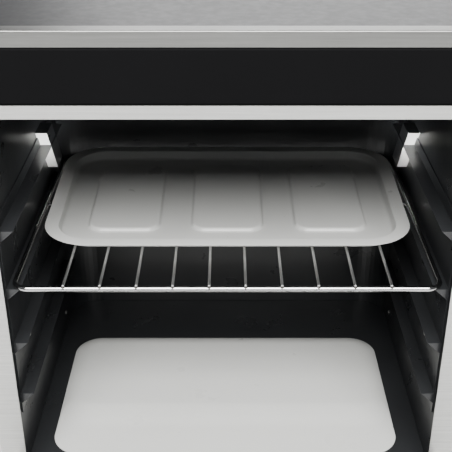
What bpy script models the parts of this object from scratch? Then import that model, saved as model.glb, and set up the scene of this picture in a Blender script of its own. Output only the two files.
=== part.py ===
"""Countertop mini oven with a drop-down door, a wire rack, a baking tray and a crumb tray drawer.

The pieces are laid out with x = 0 at the middle of the cavity, y = 0 on the front plane of the
body and z = 0 on the table. The door opens towards -y. One empty carries them all and moves the
origin to the middle of the whole object's footprint.
"""

import math

import bmesh
import bpy
from mathutils import Matrix, Vector

# Sheet metal, seats and facets
SHEET = 0.0010  # thickness of every folded steel sheet
SEAT = 0.0003  # gap between two pieces that rest on each other
OVERRUN = 0.002  # how far a cutter passes the face that it leaves
BEND_STEPS = 4  # facets in a sheet's bend
CORNER_STEPS = 5  # facets in a rounded corner of a tray or plate
FINE_SIDES = 24  # sides of a turned piece that a hand touches
ROUND_SIDES = 14  # sides of a small turned piece
HIDDEN_SIDES = 10  # sides of a turned piece inside the body
SHARP_ANGLE = math.radians(35)

# Cavity
CAVITY_WIDTH = 0.350
CAVITY_DEPTH = 0.268  # from the front plane to the back wall
OPENING_HEIGHT = 0.3233
ROOF_RISE = 0.006  # the roof lies this far above the opening's top edge
CAVITY_CORNER = 0.030  # vertical corners between the side walls and the back wall
PLATE_FLANGE = 0.004  # floor and roof plates reach this far past the walls

# Body around the cavity
FOOT_HEIGHT = 0.015
BASE_HEIGHT = 0.040  # from the underside of the base pan to the cavity floor
LEFT_SPACE = 0.018  # air between the left wall and the casing
CONTROL_SPACE = 0.108  # room for the controls, right of the cavity
REAR_SPACE = 0.034
CASING_BEND = 0.012
FRAME_RAIL = 0.010  # bright strip above the opening
FASCIA_HEIGHT = 0.0409  # black band above the bright strip
TRIM_HEIGHT = 0.0102  # brushed strip along the top
TRIM_WRAP = 0.012  # how far the strip reaches back over the casing
FASCIA_RETURN = 0.008
FRAME_MARGIN = 0.020  # stile beside the opening
FRAME_LIP = 0.001  # the frame hides the raw edges of the walls
FRAME_CORNER = 0.006

# Louvres in both sides of the casing
LOUVRE_COUNT = 8
LOUVRE_LENGTH = 0.062
LOUVRE_PITCH = 0.013
LOUVRE_HEIGHT = 0.006
LOUVRE_PROUD = 0.0025
LOUVRE_DROP = 0.0008  # the slot reaches this far below the hood's mouth
LOUVRE_LOW_Z = 0.215
LOUVRE_REAR_INSET = 0.040
LOUVRE_STEPS = 4

# Base pan
BASE_FLANGE = 0.020
BASE_SLOT_COUNT = 7
BASE_SLOT_LENGTH = 0.070
BASE_SLOT_WIDTH = 0.006
BASE_SLOT_PITCH = 0.044

# Rear panel
REAR_FLANGE = 0.012
REAR_SLOT_COUNT = 9
REAR_SLOT_LENGTH = 0.046
REAR_SLOT_WIDTH = 0.005
REAR_SLOT_PITCH = 0.032
REAR_SLOT_HIGH_INSET = 0.062  # middle of the upper row below the casing's top
REAR_SLOT_LOW_RISE = 0.075  # middle of the lower row above the base pan
SLOT_STEPS = 3

# Shelf rails pressed in a plate on each side wall
RAIL_FRONT = 0.008
RAIL_LENGTH = 0.224
RAIL_PROUD = 0.011
RAIL_SLOPE = 0.010  # height of the sloped underside of each ledge
RAIL_RACK_LEVEL = 0.1781  # ledge that carries the rack, above the cavity floor
RAIL_PITCH = 0.0515
RAIL_LEVELS_BELOW = 2
RAIL_LEVELS_ABOVE = 1
RAIL_END = 0.010  # flat margin above the highest and below the lowest ledge

# Wire rack
RACK_HALF_WIDTH = 0.168  # to the axis of the side wire
RACK_FRONT = 0.006  # axis of the front wire
RACK_REAR = 0.260
RACK_CORNER = 0.012
RACK_FRAME_RADIUS = 0.0022
RACK_WIRE_RADIUS = 0.00125
RACK_WIRE_COUNT = 10
RACK_WIRE_PITCH = 0.0285
RACK_WELD = 0.0006  # how deep a wire sinks into the one it is welded to
RACK_BAR_Y = 0.134  # cross bar under the wires, behind the middle
RACK_FRAME_SIDES = 10
RACK_WIRE_SIDES = 6

# Baking tray on the rack
TRAY_WIDTH = 0.315
TRAY_FRONT = 0.057
TRAY_LENGTH = 0.200
TRAY_CORNER = 0.032
TRAY_INNER_CORNER = 0.012
TRAY_RIM = 0.0106
TRAY_EDGE_ROUND = 0.0012
TRAY_HEM = 0.0065
TRAY_WALL_RUN = 0.012
TRAY_DEPTH = 0.0085
TRAY_FILLET = 0.003
PAD_COUNT = 3
PAD_WIDTH = 0.060
PAD_PITCH = 0.0857
PAD_FRONT = 0.094
PAD_REAR_INSET = 0.030
PAD_CORNER = 0.013
PAD_HEIGHT = 0.0028
PAD_SLOPE = 0.004

# Crumb tray drawer on the cavity floor
CRUMB_X = -0.0021  # the drawer lies this far off the middle of the cavity
CRUMB_WIDTH = 0.311
CRUMB_FRONT = 0.016
CRUMB_REAR = 0.193
CRUMB_CORNER = 0.026
CRUMB_FALL = 0.0048  # the margins fall this far from the raised middle to the edge
CRUMB_MARGIN = 0.018  # width of the falling margin at the sides and the rear
CRUMB_RAMP = 0.065  # and at the front
CRUMB_RAMP_CURVE = 0.25
CRUMB_STEPS = 6
CRUMB_LIP = 0.009  # pull lip in front of the tray
CRUMB_LIP_WIDTH = 0.180
CRUMB_LIP_RISE = 0.0045

# Heating elements
ELEMENT_RADIUS = 0.00325
ELEMENT_PIN_RADIUS = 0.0015
ELEMENT_PIN = 0.006
ELEMENT_PAST_WALL = 0.010  # sheath outside the wall that holds it
ELEMENT_FRONT_Y = 0.080
ELEMENT_REAR_Y = 0.190
UPPER_ELEMENT_DROP = 0.018  # below the roof
LOWER_ELEMENT_RISE = 0.019  # above the base pan
BUSH_NECK = 0.0052
BUSH_FLANGE = 0.0080
BUSH_THICKNESS = 0.0035
HOLDER_INSET = 0.003  # lower element holders stand this far inside the cavity's side walls
HOLDER_FOOT = 0.012
HOLDER_HEIGHT = 0.033
HOLDER_MARGIN = 0.018  # past the element's axis, front and rear
REFLECTOR_RISE = 0.008
REFLECTOR_FOOT = 0.012
REFLECTOR_RAMP = 0.014
REFLECTOR_MARGIN = 0.034

# Partition and controls
SHIELD_X = 0.197
SHIELD_FOOT = 0.010
SHIELD_FRONT = 0.006
SHIELD_REAR_INSET = 0.020
SHIELD_TOP_GAP = 0.010
PANEL_THICKNESS = 0.002
PANEL_PROUD = 0.001  # the control panel stands this far in front of the frame
CONTROL_TOP_DROP = 0.079  # highest knob's axis below the panel's top edge
CONTROL_PITCH = 0.105
BRACKET_SETBACK = 0.012
BRACKET_MARGIN = 0.006
BRACKET_END = 0.042  # past the outer knobs' axes
SHAFT_RADIUS = 0.003
SHAFT_IN_BODY = 0.008
SHAFT_IN_KNOB = 0.011
SHAFT_HOLE = 0.005
KNOB_RADIUS = 0.020
KNOB_FRONT_RADIUS = 0.0165
KNOB_SKIRT = 0.004
KNOB_DEPTH = 0.012
KNOB_ROUND = 0.0015
KNOB_GAP = 0.0015
KNOB_BAR_WIDTH = 0.009
KNOB_BAR_RISE = 0.009
KNOB_BAR_TAPER = 0.0015
LENS_RADIUS = 0.0042
LENS_FLANGE = 0.0058
LENS_RISE = 0.0015
LENS_DEPTH = 0.006
LENS_DROP = 0.029  # below the panel's top edge
THERMOSTAT_SIZE = 0.034
THERMOSTAT_DEPTH = 0.024
SWITCH_RADIUS = 0.017
SWITCH_DEPTH = 0.030
TIMER_WIDTH = 0.048
TIMER_HEIGHT = 0.052
TIMER_DEPTH = 0.036
CONTROL_ROUND = 0.004
CONTROL_STEP = 0.003  # the rear part of a control is this much smaller all round
CONTROL_REAR_DEPTH = 0.006
CUTOUT_RADIUS = 0.008
CUTOUT_DEPTH = 0.007
CUTOUT_TAB = 0.012
CUTOUT_TAB_THICKNESS = 0.001
CUTOUT_Y = 0.135
CUTOUT_Z = 0.250
TERMINAL_LENGTH = 0.040
TERMINAL_WIDTH = 0.018
TERMINAL_HEIGHT = 0.015
TERMINAL_REAR_INSET = 0.050
TERMINAL_WELL_RADIUS = 0.003
TERMINAL_WELL_DEPTH = 0.005
TERMINAL_POLES = 3
GLAND_BORE = 0.004
GLAND_NECK = 0.0062
GLAND_FLANGE = 0.010
GLAND_FLANGE_DEPTH = 0.005
GLAND_NUT_DEPTH = 0.003
GLAND_RIGHT_INSET = 0.045
GLAND_RISE = 0.040

# Door
DOOR_THICKNESS = 0.020
DOOR_GAP = 0.0015  # air between the closed door and the front plane
DOOR_SIDE_OVERLAP = 0.008
DOOR_TOP_OVERLAP = 0.006
DOOR_FLOOR_DROP = 0.001  # the open door lies this far below the cavity floor
DOOR_OUTER_DEPTH = 0.014  # of the thickness, the outer frame's part
DOOR_EDGE_ROUND = 0.004
DOOR_INNER_INSET = 0.004
DOOR_INNER_CHAMFER = 0.002
WINDOW_SIDE = 0.033
WINDOW_TOP = 0.048
WINDOW_BOTTOM = 0.034
WINDOW_CORNER = 0.008
GLASS_THICKNESS = 0.0036
GLASS_LAP = 0.008
HANDLE_LENGTH = 0.300
HANDLE_RADIUS = 0.006
HANDLE_REACH = 0.021  # from the door's face to the handle's axis
HANDLE_DROP = 0.024  # below the door's top edge
HANDLE_END_ROUND = 0.003
POST_RADIUS = 0.0055
POST_SPREAD = 0.240
POST_FLARE = 0.0015
POST_FOOT = 0.003
HINGE_PIN_RADIUS = 0.0025
HINGE_PIN_IN_DOOR = 0.012
HINGE_PIN_HEAD = 0.004
HINGE_PIN_HEAD_DEPTH = 0.0015
EAR_GAP = 0.0008
EAR_THICKNESS = 0.002
EAR_REACH = 0.0195
EAR_LOW = 0.012  # the bracket reaches this far below the pins' axis
EAR_HIGH = 0.014

# Feet and screws
FOOT_RADIUS = 0.013
FOOT_TOP_RADIUS = 0.0115
FOOT_ROUND = 0.0015
FOOT_STUD = 0.003
FOOT_BARB = 0.0042
FOOT_BARB_HEIGHT = 0.004
FOOT_INSET_X = 0.034
FOOT_INSET_Y = 0.034
SCREW_HEAD = 0.0035
SCREW_HEAD_RISE = 0.0020
SCREW_SHANK = 0.0016
SCREW_CLEARANCE = 0.0003

# Places that follow from the sizes above
CAVITY_HALF = CAVITY_WIDTH / 2
PAN_TOP = FOOT_HEIGHT + SHEET
FLOOR_Z = FOOT_HEIGHT + BASE_HEIGHT
OPENING_TOP = FLOOR_Z + OPENING_HEIGHT
ROOF_Z = OPENING_TOP + ROOF_RISE
FASCIA_LOW = OPENING_TOP + FRAME_RAIL + SEAT
FASCIA_TOP = FASCIA_LOW + FASCIA_HEIGHT
TRIM_LOW = FASCIA_TOP + SEAT
TOP_Z = TRIM_LOW + TRIM_HEIGHT
TRIM_TOP = TOP_Z + SEAT + SHEET
WALL_OUTER = CAVITY_HALF + SHEET
CASING_LEFT = -(WALL_OUTER + LEFT_SPACE + SHEET)
CASING_RIGHT = WALL_OUTER + CONTROL_SPACE + SHEET
INNER_LEFT = CASING_LEFT + SHEET + SEAT
INNER_RIGHT = CASING_RIGHT - SHEET - SEAT
BEHIND_FRAME = SHEET + SEAT
REAR_Y = CAVITY_DEPTH + SHEET + REAR_SPACE + SHEET
FRAME_RIGHT = CAVITY_HALF + FRAME_MARGIN
PANEL_LEFT = FRAME_RIGHT + SEAT
PANEL_BACK = PANEL_THICKNESS - PANEL_PROUD
CONTROL_X = (PANEL_LEFT + CASING_RIGHT) / 2
CONTROL_TOP_Z = FASCIA_TOP - CONTROL_TOP_DROP
BRACKET_Y = PANEL_BACK + BRACKET_SETBACK
CONTROL_FACE_Y = BRACKET_Y + SHEET + SEAT
DOOR_HALF = CAVITY_HALF + DOOR_SIDE_OVERLAP
BARREL = DOOR_THICKNESS / 2
HINGE_Y = -(DOOR_GAP + BARREL)
HINGE_Z = FLOOR_Z - DOOR_FLOOR_DROP - BARREL
DOOR_RISE = OPENING_TOP + DOOR_TOP_OVERLAP - HINGE_Z
DOOR_SPLIT = DOOR_OUTER_DEPTH - BARREL
RACK_LEDGE = FLOOR_Z + RAIL_RACK_LEVEL
RACK_Z = RACK_LEDGE + SEAT + RACK_FRAME_RADIUS
RACK_WIRE_Z = RACK_Z + RACK_FRAME_RADIUS + RACK_WIRE_RADIUS - RACK_WELD
TRAY_UNDERSIDE = RACK_WIRE_Z + RACK_WIRE_RADIUS + SEAT
CENTRE_X = (CASING_LEFT + CASING_RIGHT) / 2
CENTRE_Y = (HINGE_Y - DOOR_RISE + REAR_Y + SEAT + GLAND_FLANGE_DEPTH) / 2


def clear_scene():
    """Take every object out of the open file."""
    for item in list(bpy.data.objects):
        bpy.data.objects.remove(item, do_unlink=True)


def finish(name, colour, roughness, metallic, transmission=0.0):
    """A Principled material with one colour."""
    made = bpy.data.materials.new(name)
    made.use_nodes = True
    shader = made.node_tree.nodes["Principled BSDF"]
    shader.inputs["Base Color"].default_value = (*colour, 1.0)
    shader.inputs["Roughness"].default_value = roughness
    shader.inputs["Metallic"].default_value = metallic
    shader.inputs["Transmission Weight"].default_value = transmission
    made.diffuse_color = (*colour, 1.0)
    return made


clear_scene()

BLACK_ENAMEL = finish("black_enamel", (0.012, 0.013, 0.014), 0.18, 0.0)
GREY_ENAMEL = finish("grey_enamel", (0.56, 0.56, 0.53), 0.32, 0.0)
BRUSHED_STEEL = finish("brushed_steel", (0.62, 0.61, 0.59), 0.34, 1.0)
BLACK_PAINT = finish("black_paint", (0.016, 0.016, 0.017), 0.42, 0.0)
CHROME = finish("chrome", (0.78, 0.78, 0.78), 0.12, 1.0)
GALVANISED = finish("galvanised_sheet", (0.52, 0.53, 0.54), 0.45, 1.0)
SHEATH = finish("element_sheath", (0.16, 0.15, 0.14), 0.5, 0.8)
PORCELAIN = finish("porcelain", (0.82, 0.80, 0.74), 0.4, 0.0)
BLACK_PLASTIC = finish("black_plastic", (0.018, 0.018, 0.019), 0.38, 0.0)
NYLON = finish("grey_nylon", (0.42, 0.42, 0.40), 0.5, 0.0)
RUBBER = finish("foot_rubber", (0.02, 0.02, 0.02), 0.85, 0.0)
AMBER = finish("amber_lens", (0.80, 0.22, 0.03), 0.15, 0.0, 0.5)
SMOKED_GLASS = finish("smoked_glass", (0.10, 0.10, 0.10), 0.04, 0.0, 0.9)
ZINC = finish("zinc_steel", (0.60, 0.60, 0.58), 0.35, 1.0)

ORIGIN = bpy.data.objects.new("footprint_origin", None)
bpy.context.collection.objects.link(ORIGIN)
ORIGIN.location = (-CENTRE_X, -CENTRE_Y, 0)


def hinge_guide(name, location, turn_x=0.0):
    """An empty on a joint's axis, which carries the pieces that move with it."""
    guide = bpy.data.objects.new(name, None)
    bpy.context.collection.objects.link(guide)
    guide.parent = ORIGIN
    guide.location = location
    guide.rotation_euler = (turn_x, 0, 0)
    return guide


def place(name, shape, material, parent=ORIGIN, location=(0, 0, 0)):
    """Turn a bmesh into a named object with outward faces."""
    bmesh.ops.recalc_face_normals(shape, faces=shape.faces)
    mesh = bpy.data.meshes.new(name)
    shape.to_mesh(mesh)
    shape.free()
    mesh.shade_smooth()
    mesh.set_sharp_from_angle(angle=SHARP_ANGLE)
    made = bpy.data.objects.new(name, mesh)
    bpy.context.collection.objects.link(made)
    made.parent = parent
    made.location = location
    if material:
        mesh.materials.append(material)
    return made


def combine(target, name, shape, operation="DIFFERENCE"):
    """Cut a shape from a piece, join it on or keep what both hold."""
    tool = place(name, shape, None, target.parent, target.location)
    tool.hide_render = True
    tool.display_type = "WIRE"
    step = target.modifiers.new(name, "BOOLEAN")
    step.operation = operation
    step.solver = "EXACT"
    step.object = tool


def arc(centre, radius, start, end, steps):
    """Points on an arc in a plane, both ends included."""
    angles = [start + (end - start) * k / steps for k in range(steps + 1)]
    return [(centre[0] + radius * math.cos(a), centre[1] + radius * math.sin(a)) for a in angles]


def rounded_rectangle(low, high, radius, steps=CORNER_STEPS, front_radius=None):
    """Outline of a rectangle with rounded corners; the two at the lower v may be tighter."""
    near = radius if front_radius is None else front_radius
    quarter = math.pi / 2
    corners = (
        ((high[0] - near, low[1] + near), near, -quarter),
        ((high[0] - radius, high[1] - radius), radius, 0),
        ((low[0] + radius, high[1] - radius), radius, quarter),
        ((low[0] + near, low[1] + near), near, 2 * quarter),
    )
    outline = []
    for centre, size, start in corners:
        outline += arc(centre, size, start, start + quarter, steps)
    return outline


def slot_outline(centre, length, width, upright=False):
    """A slot with round ends."""
    reach = (length - width) / 2
    outline = []
    for side in (1, -1):
        across = 0 if upright else side * reach
        up = side * reach if upright else 0
        start = (0 if upright else -math.pi / 2) + (0 if side == 1 else math.pi)
        outline += arc((centre[0] + across, centre[1] + up), width / 2, start, start + math.pi, SLOT_STEPS)
    return outline


def bent(points, radius, steps=BEND_STEPS):
    """An open path whose inner corners are rounded to one radius."""
    path = [Vector(points[0])]
    for before, here, after in zip(points, points[1:], points[2:]):
        here = Vector(here)
        back = (Vector(before) - here).normalized()
        on = (Vector(after) - here).normalized()
        half = back.angle(on) / 2
        run = radius / math.tan(half)
        centre = here + (back + on).normalized() * radius / math.sin(half)
        first = here + back * run - centre
        last = here + on * run - centre
        sweep = first.angle_signed(last)
        for k in range(steps + 1):
            turned = first.copy()
            turned.rotate(Matrix.Rotation(-sweep * k / steps, 2))
            path.append(centre + turned)
    path.append(Vector(points[-1]))
    return [tuple(p) for p in path]


def folded(path, thickness=SHEET):
    """Outline of a sheet that follows an open path, with its thickness on the path's left."""
    points = [Vector(p) for p in path]
    runs = [(b - a).normalized() for a, b in zip(points, points[1:])]
    lefts = [Vector((-r.y, r.x)) for r in runs]
    inner = [points[0] + lefts[0] * thickness]
    for here, before, after in zip(points[1:], lefts, lefts[1:]):
        middle = (before + after).normalized()
        inner.append(here + middle * thickness / middle.dot(before))
    inner.append(points[-1] + lefts[-1] * thickness)
    return [tuple(p) for p in points] + [tuple(p) for p in reversed(inner)]


def along(axis, outline, distance):
    """Set a flat outline in space, across one axis at a distance."""
    if axis == "x":
        return [(distance, u, v) for u, v in outline]
    if axis == "y":
        return [(u, distance, v) for u, v in outline]
    return [(u, v, distance) for u, v in outline]


def add_loft(shape, rings):
    """A closed body through rings with equal numbers of points; the end rings are filled."""
    loops = [[shape.verts.new(p) for p in ring] for ring in rings]
    for lower, upper in zip(loops, loops[1:]):
        for k, corner in enumerate(lower):
            n = (k + 1) % len(lower)
            shape.faces.new((corner, lower[n], upper[n], upper[k]))
    shape.faces.new(reversed(loops[0]))
    shape.faces.new(loops[-1])


def add_prism(shape, axis, outline, start, end):
    """An outline carried straight along one axis."""
    add_loft(shape, [along(axis, outline, start), along(axis, outline, end)])


def prism(axis, outline, start, end):
    """One prism as a new shape."""
    shape = bmesh.new()
    add_prism(shape, axis, outline, start, end)
    return shape


def rectangle(low, high):
    """Outline of a plain rectangle."""
    return [low, (high[0], low[1]), high, (low[0], high[1])]


def add_turned(shape, profile, centre, direction, sides, hollow=False):
    """Turn a profile of (radius, distance along the direction) points.

    A solid profile starts and ends on the axis. A hollow one is a closed outline off the axis.
    """
    turn = Vector(direction).to_track_quat("Z", "Y").to_matrix().to_4x4()
    spot = Matrix.Translation(centre) @ turn
    rings = []
    for radius, height in profile:
        count = sides if radius > 0 else 1
        angles = [2 * math.pi * k / sides for k in range(count)]
        points = [Vector((radius * math.cos(a), radius * math.sin(a), height)) for a in angles]
        rings.append([shape.verts.new(spot @ p) for p in points])
    pairs = list(zip(rings, rings[1:]))
    if hollow:
        pairs.append((rings[-1], rings[0]))
    for lower, upper in pairs:
        for k in range(sides):
            n = (k + 1) % sides
            near = (lower[k % len(lower)], lower[n % len(lower)])
            far = (upper[n % len(upper)], upper[k % len(upper)])
            shape.faces.new(list(dict.fromkeys(near + far)))


def turned(profile, centre, direction, sides=ROUND_SIDES, hollow=False):
    """One turned body as a new shape."""
    shape = bmesh.new()
    add_turned(shape, profile, centre, direction, sides, hollow)
    return shape


def rod(radius, start, end):
    """Profile of a plain rod between two distances."""
    return [(0, start), (radius, start), (radius, end), (0, end)]


def add_wire_loop(shape, corners_path, radius, sides):
    """A round wire along a closed flat path in the x, y plane."""
    count = len(corners_path)
    rings = []
    for k, here in enumerate(corners_path):
        before = Vector(corners_path[k - 1])
        after = Vector(corners_path[(k + 1) % count])
        here = Vector(here)
        back = (here - before).normalized()
        on = (after - here).normalized()
        middle = (back + on).normalized()
        across = Vector((middle.y, -middle.x)) / middle.dot(on)
        points = []
        for s in range(sides):
            angle = 2 * math.pi * (s + 1 / 2) / sides
            flat = here + across * radius * math.cos(angle)
            points.append((flat.x, flat.y, radius * math.sin(angle)))
        rings.append([shape.verts.new(p) for p in points])
    for lower, upper in zip(rings, rings[1:] + rings[:1]):
        for s in range(sides):
            n = (s + 1) % sides
            shape.faces.new((lower[s], lower[n], upper[n], upper[s]))


# Casing, base and back
def louvre_profile(draw, bottom, back):
    """Hood of a louvre in (outward, upward) sizes, drawn in by part of the sheet for its cutter."""
    proud = LOUVRE_PROUD - draw
    height = LOUVRE_HEIGHT - draw
    points = [(back, bottom), (proud, bottom)]
    for k in range(LOUVRE_STEPS + 1):
        angle = math.pi / 2 * k / LOUVRE_STEPS
        points.append((proud * math.cos(angle), height * math.sin(angle)))
    points.append((back, height))
    clean = [points[0]]
    for point in points[1:]:
        if (Vector(point) - Vector(clean[-1])).length > 0:
            clean.append(point)
    return clean


def louvres(draw, bottom, back):
    """The same hood shape at every louvre of both sides."""
    shape = bmesh.new()
    rear = REAR_Y - LOUVRE_REAR_INSET
    for side, face in ((-1, CASING_LEFT), (1, CASING_RIGHT)):
        for k in range(LOUVRE_COUNT):
            base = LOUVRE_LOW_Z + k * LOUVRE_PITCH
            hood = louvre_profile(draw, bottom, back)
            outline = [(face + side * out, base + up) for out, up in hood]
            add_prism(shape, "y", outline, rear - LOUVRE_LENGTH + draw, rear - draw)
    return shape


def make_outer_casing():
    """Wrap-round casing: both sides and the top in one folded sheet with pressed louvres."""
    corners = (
        (CASING_RIGHT, FOOT_HEIGHT),
        (CASING_RIGHT, TOP_Z),
        (CASING_LEFT, TOP_Z),
        (CASING_LEFT, FOOT_HEIGHT),
    )
    outline = folded(bent(corners, CASING_BEND))
    casing = place("outer_casing", prism("y", outline, BEHIND_FRAME, REAR_Y), BLACK_PAINT)
    combine(casing, "louvre_hoods", louvres(0, 0, -SHEET / 2), "UNION")
    combine(casing, "louvre_mouths", louvres(SHEET / 2, -LOUVRE_DROP, -SHEET - OVERRUN))


def screw_profile(length):
    """Pan head with its shank, seated at distance zero."""
    return [
        (0, -length),
        (SCREW_SHANK, -length),
        (SCREW_SHANK, SEAT),
        (SCREW_HEAD, SEAT),
        (SCREW_HEAD, SCREW_HEAD_RISE / 2),
        (SCREW_HEAD / 2, SCREW_HEAD_RISE),
        (0, SCREW_HEAD_RISE),
    ]


def foot_places():
    """The feet, named by corner."""
    left = CASING_LEFT + FOOT_INSET_X
    right = CASING_RIGHT - FOOT_INSET_X
    rear = REAR_Y - FOOT_INSET_Y
    return {
        "front_left_foot": (left, FOOT_INSET_Y, 0),
        "front_right_foot": (right, FOOT_INSET_Y, 0),
        "rear_left_foot": (left, rear, 0),
        "rear_right_foot": (right, rear, 0),
    }


def make_base_pan():
    """Bottom sheet with turned-up sides, air slots and holes for the feet's studs."""
    flange_top = FOOT_HEIGHT + BASE_FLANGE
    corners = (
        (INNER_LEFT, flange_top),
        (INNER_LEFT, FOOT_HEIGHT),
        (INNER_RIGHT, FOOT_HEIGHT),
        (INNER_RIGHT, flange_top),
    )
    outline = folded(bent(corners, 2 * SHEET))
    rear = REAR_Y - REAR_FLANGE - SEAT
    pan = place("base_pan", prism("y", outline, BEHIND_FRAME, rear), GALVANISED)
    holes = bmesh.new()
    first = -BASE_SLOT_PITCH * (BASE_SLOT_COUNT - 1) / 2
    middle_y = (ELEMENT_FRONT_Y + ELEMENT_REAR_Y) / 2
    for k in range(BASE_SLOT_COUNT):
        centre = (first + k * BASE_SLOT_PITCH, middle_y)
        slot = slot_outline(centre, BASE_SLOT_LENGTH, BASE_SLOT_WIDTH, True)
        add_prism(holes, "z", slot, FOOT_HEIGHT - OVERRUN, PAN_TOP + OVERRUN)
    for spot in foot_places().values():
        stud = rod(FOOT_STUD + SEAT, FOOT_HEIGHT - OVERRUN, PAN_TOP + OVERRUN)
        add_turned(holes, stud, spot, (0, 0, 1), ROUND_SIDES)
    combine(pan, "base_pan_holes", holes)


def make_rear_panel():
    """Pressed back with a forward flange, two rows of vents and a round hole for the gland."""
    low = (INNER_LEFT, FOOT_HEIGHT)
    high = (INNER_RIGHT, TOP_Z - SHEET - SEAT)
    radius = CASING_BEND - SHEET - SEAT
    outer = rounded_rectangle(low, high, radius, BEND_STEPS, 2 * SHEET)
    inner_low = (low[0] + SHEET, low[1] + SHEET)
    inner_high = (high[0] - SHEET, high[1] - SHEET)
    inner = rounded_rectangle(inner_low, inner_high, radius - SHEET, BEND_STEPS, SHEET)
    front = REAR_Y - REAR_FLANGE
    shape = bmesh.new()
    add_loft(
        shape,
        [
            along("y", outer, REAR_Y),
            along("y", outer, front),
            along("y", inner, front),
            along("y", inner, REAR_Y - SHEET),
        ],
    )
    panel = place("rear_panel", shape, GALVANISED)
    holes = bmesh.new()
    first = -REAR_SLOT_PITCH * (REAR_SLOT_COUNT - 1) / 2
    for z in (TOP_Z - REAR_SLOT_HIGH_INSET, FOOT_HEIGHT + REAR_SLOT_LOW_RISE):
        for k in range(REAR_SLOT_COUNT):
            centre = (first + k * REAR_SLOT_PITCH, z)
            slot = slot_outline(centre, REAR_SLOT_LENGTH, REAR_SLOT_WIDTH, True)
            add_prism(holes, "y", slot, REAR_Y - SHEET - OVERRUN, REAR_Y + OVERRUN)
    neck_hole = rod(GLAND_NECK + SEAT, -OVERRUN - SHEET, OVERRUN)
    add_turned(holes, neck_hole, gland_place(), (0, 1, 0), ROUND_SIDES)
    combine(panel, "rear_panel_holes", holes)


def gland_place():
    """Where the gland sits on the outside of the rear panel."""
    return (CASING_RIGHT - GLAND_RIGHT_INSET, REAR_Y, FOOT_HEIGHT + GLAND_RISE)


def make_cord_gland():
    """Plastic gland with a flange outside and a locking ring inside the rear panel."""
    behind = SEAT + GLAND_FLANGE_DEPTH
    inside = -SHEET - SEAT
    profile = [
        (GLAND_BORE, behind),
        (GLAND_NECK, behind),
        (GLAND_FLANGE, SEAT + GLAND_FLANGE_DEPTH / 2),
        (GLAND_FLANGE, SEAT),
        (GLAND_NECK, SEAT),
        (GLAND_NECK, inside),
        (GLAND_FLANGE, inside),
        (GLAND_FLANGE, inside - GLAND_NUT_DEPTH),
        (GLAND_BORE, inside - GLAND_NUT_DEPTH),
    ]
    place("cord_gland", turned(profile, gland_place(), (0, 1, 0), ROUND_SIDES, True), BLACK_PLASTIC)


def make_feet():
    """Four push-in rubber feet; each stud snaps through the base pan."""
    profile = [
        (0, 0),
        (FOOT_RADIUS - FOOT_ROUND, 0),
        (FOOT_RADIUS, FOOT_ROUND),
        (FOOT_TOP_RADIUS, FOOT_HEIGHT - SEAT),
        (FOOT_STUD, FOOT_HEIGHT - SEAT),
        (FOOT_STUD, PAN_TOP + SEAT),
        (FOOT_BARB, PAN_TOP + SEAT),
        (FOOT_STUD / 2, PAN_TOP + FOOT_BARB_HEIGHT),
        (0, PAN_TOP + FOOT_BARB_HEIGHT),
    ]
    for name, spot in foot_places().items():
        place(name, turned(profile, (0, 0, 0), (0, 0, 1)), RUBBER, ORIGIN, spot)


# Front of the body
def make_front_frame():
    """Brushed frame round the opening; its upper rail is the bright strip over the cavity."""
    plate = rectangle((CASING_LEFT, FOOT_HEIGHT), (FRAME_RIGHT, OPENING_TOP + FRAME_RAIL))
    frame = place("front_frame", prism("y", plate, 0, SHEET), BRUSHED_STEEL)
    reach = CAVITY_HALF - FRAME_LIP
    opening = rounded_rectangle((-reach, FLOOR_Z), (reach, OPENING_TOP), FRAME_CORNER)
    combine(frame, "frame_opening", prism("y", opening, -OVERRUN, SHEET + OVERRUN))


def make_fascia_band():
    """Black band over the opening, with its edges turned back."""
    corners = (
        (FASCIA_RETURN, FASCIA_TOP),
        (0, FASCIA_TOP),
        (0, FASCIA_LOW),
        (FASCIA_RETURN, FASCIA_LOW),
    )
    outline = folded(bent(corners, 2 * SHEET))
    band = place("fascia_band", prism("x", outline, CASING_LEFT, FRAME_RIGHT), BLACK_PAINT)
    corner_low = (CASING_LEFT - OVERRUN, FASCIA_LOW - OVERRUN)
    corner = rectangle(corner_low, (INNER_LEFT, FASCIA_TOP + OVERRUN))
    combine(band, "fascia_corner_notch", prism("y", corner, SHEET, FASCIA_RETURN + OVERRUN))


def make_top_trim():
    """Brushed strip along the top edge, rolled back over the casing."""
    path = bent(((TRIM_WRAP, TRIM_TOP), (0, TRIM_TOP), (0, TRIM_LOW)), BEHIND_FRAME)
    outline = folded(path)
    trim = place("top_trim", prism("x", outline, CASING_LEFT, CASING_RIGHT), BRUSHED_STEEL)
    front_low = (CASING_LEFT, TRIM_LOW - OVERRUN - CASING_BEND - BEHIND_FRAME)
    front = rounded_rectangle(front_low, (CASING_RIGHT, TRIM_TOP), CASING_BEND, BEND_STEPS)
    corners = prism("y", front, -OVERRUN, TRIM_WRAP + OVERRUN)
    combine(trim, "trim_corners", corners, "INTERSECT")


def control_places():
    """Heights of the three knobs, by what they set."""
    names = ("temperature", "function", "timer")
    return {name: CONTROL_TOP_Z - k * CONTROL_PITCH for k, name in enumerate(names)}


def lens_place():
    """Middle of the indicator lens on the front of the panel."""
    return (CONTROL_X, -PANEL_PROUD, FASCIA_TOP - LENS_DROP)


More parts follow.
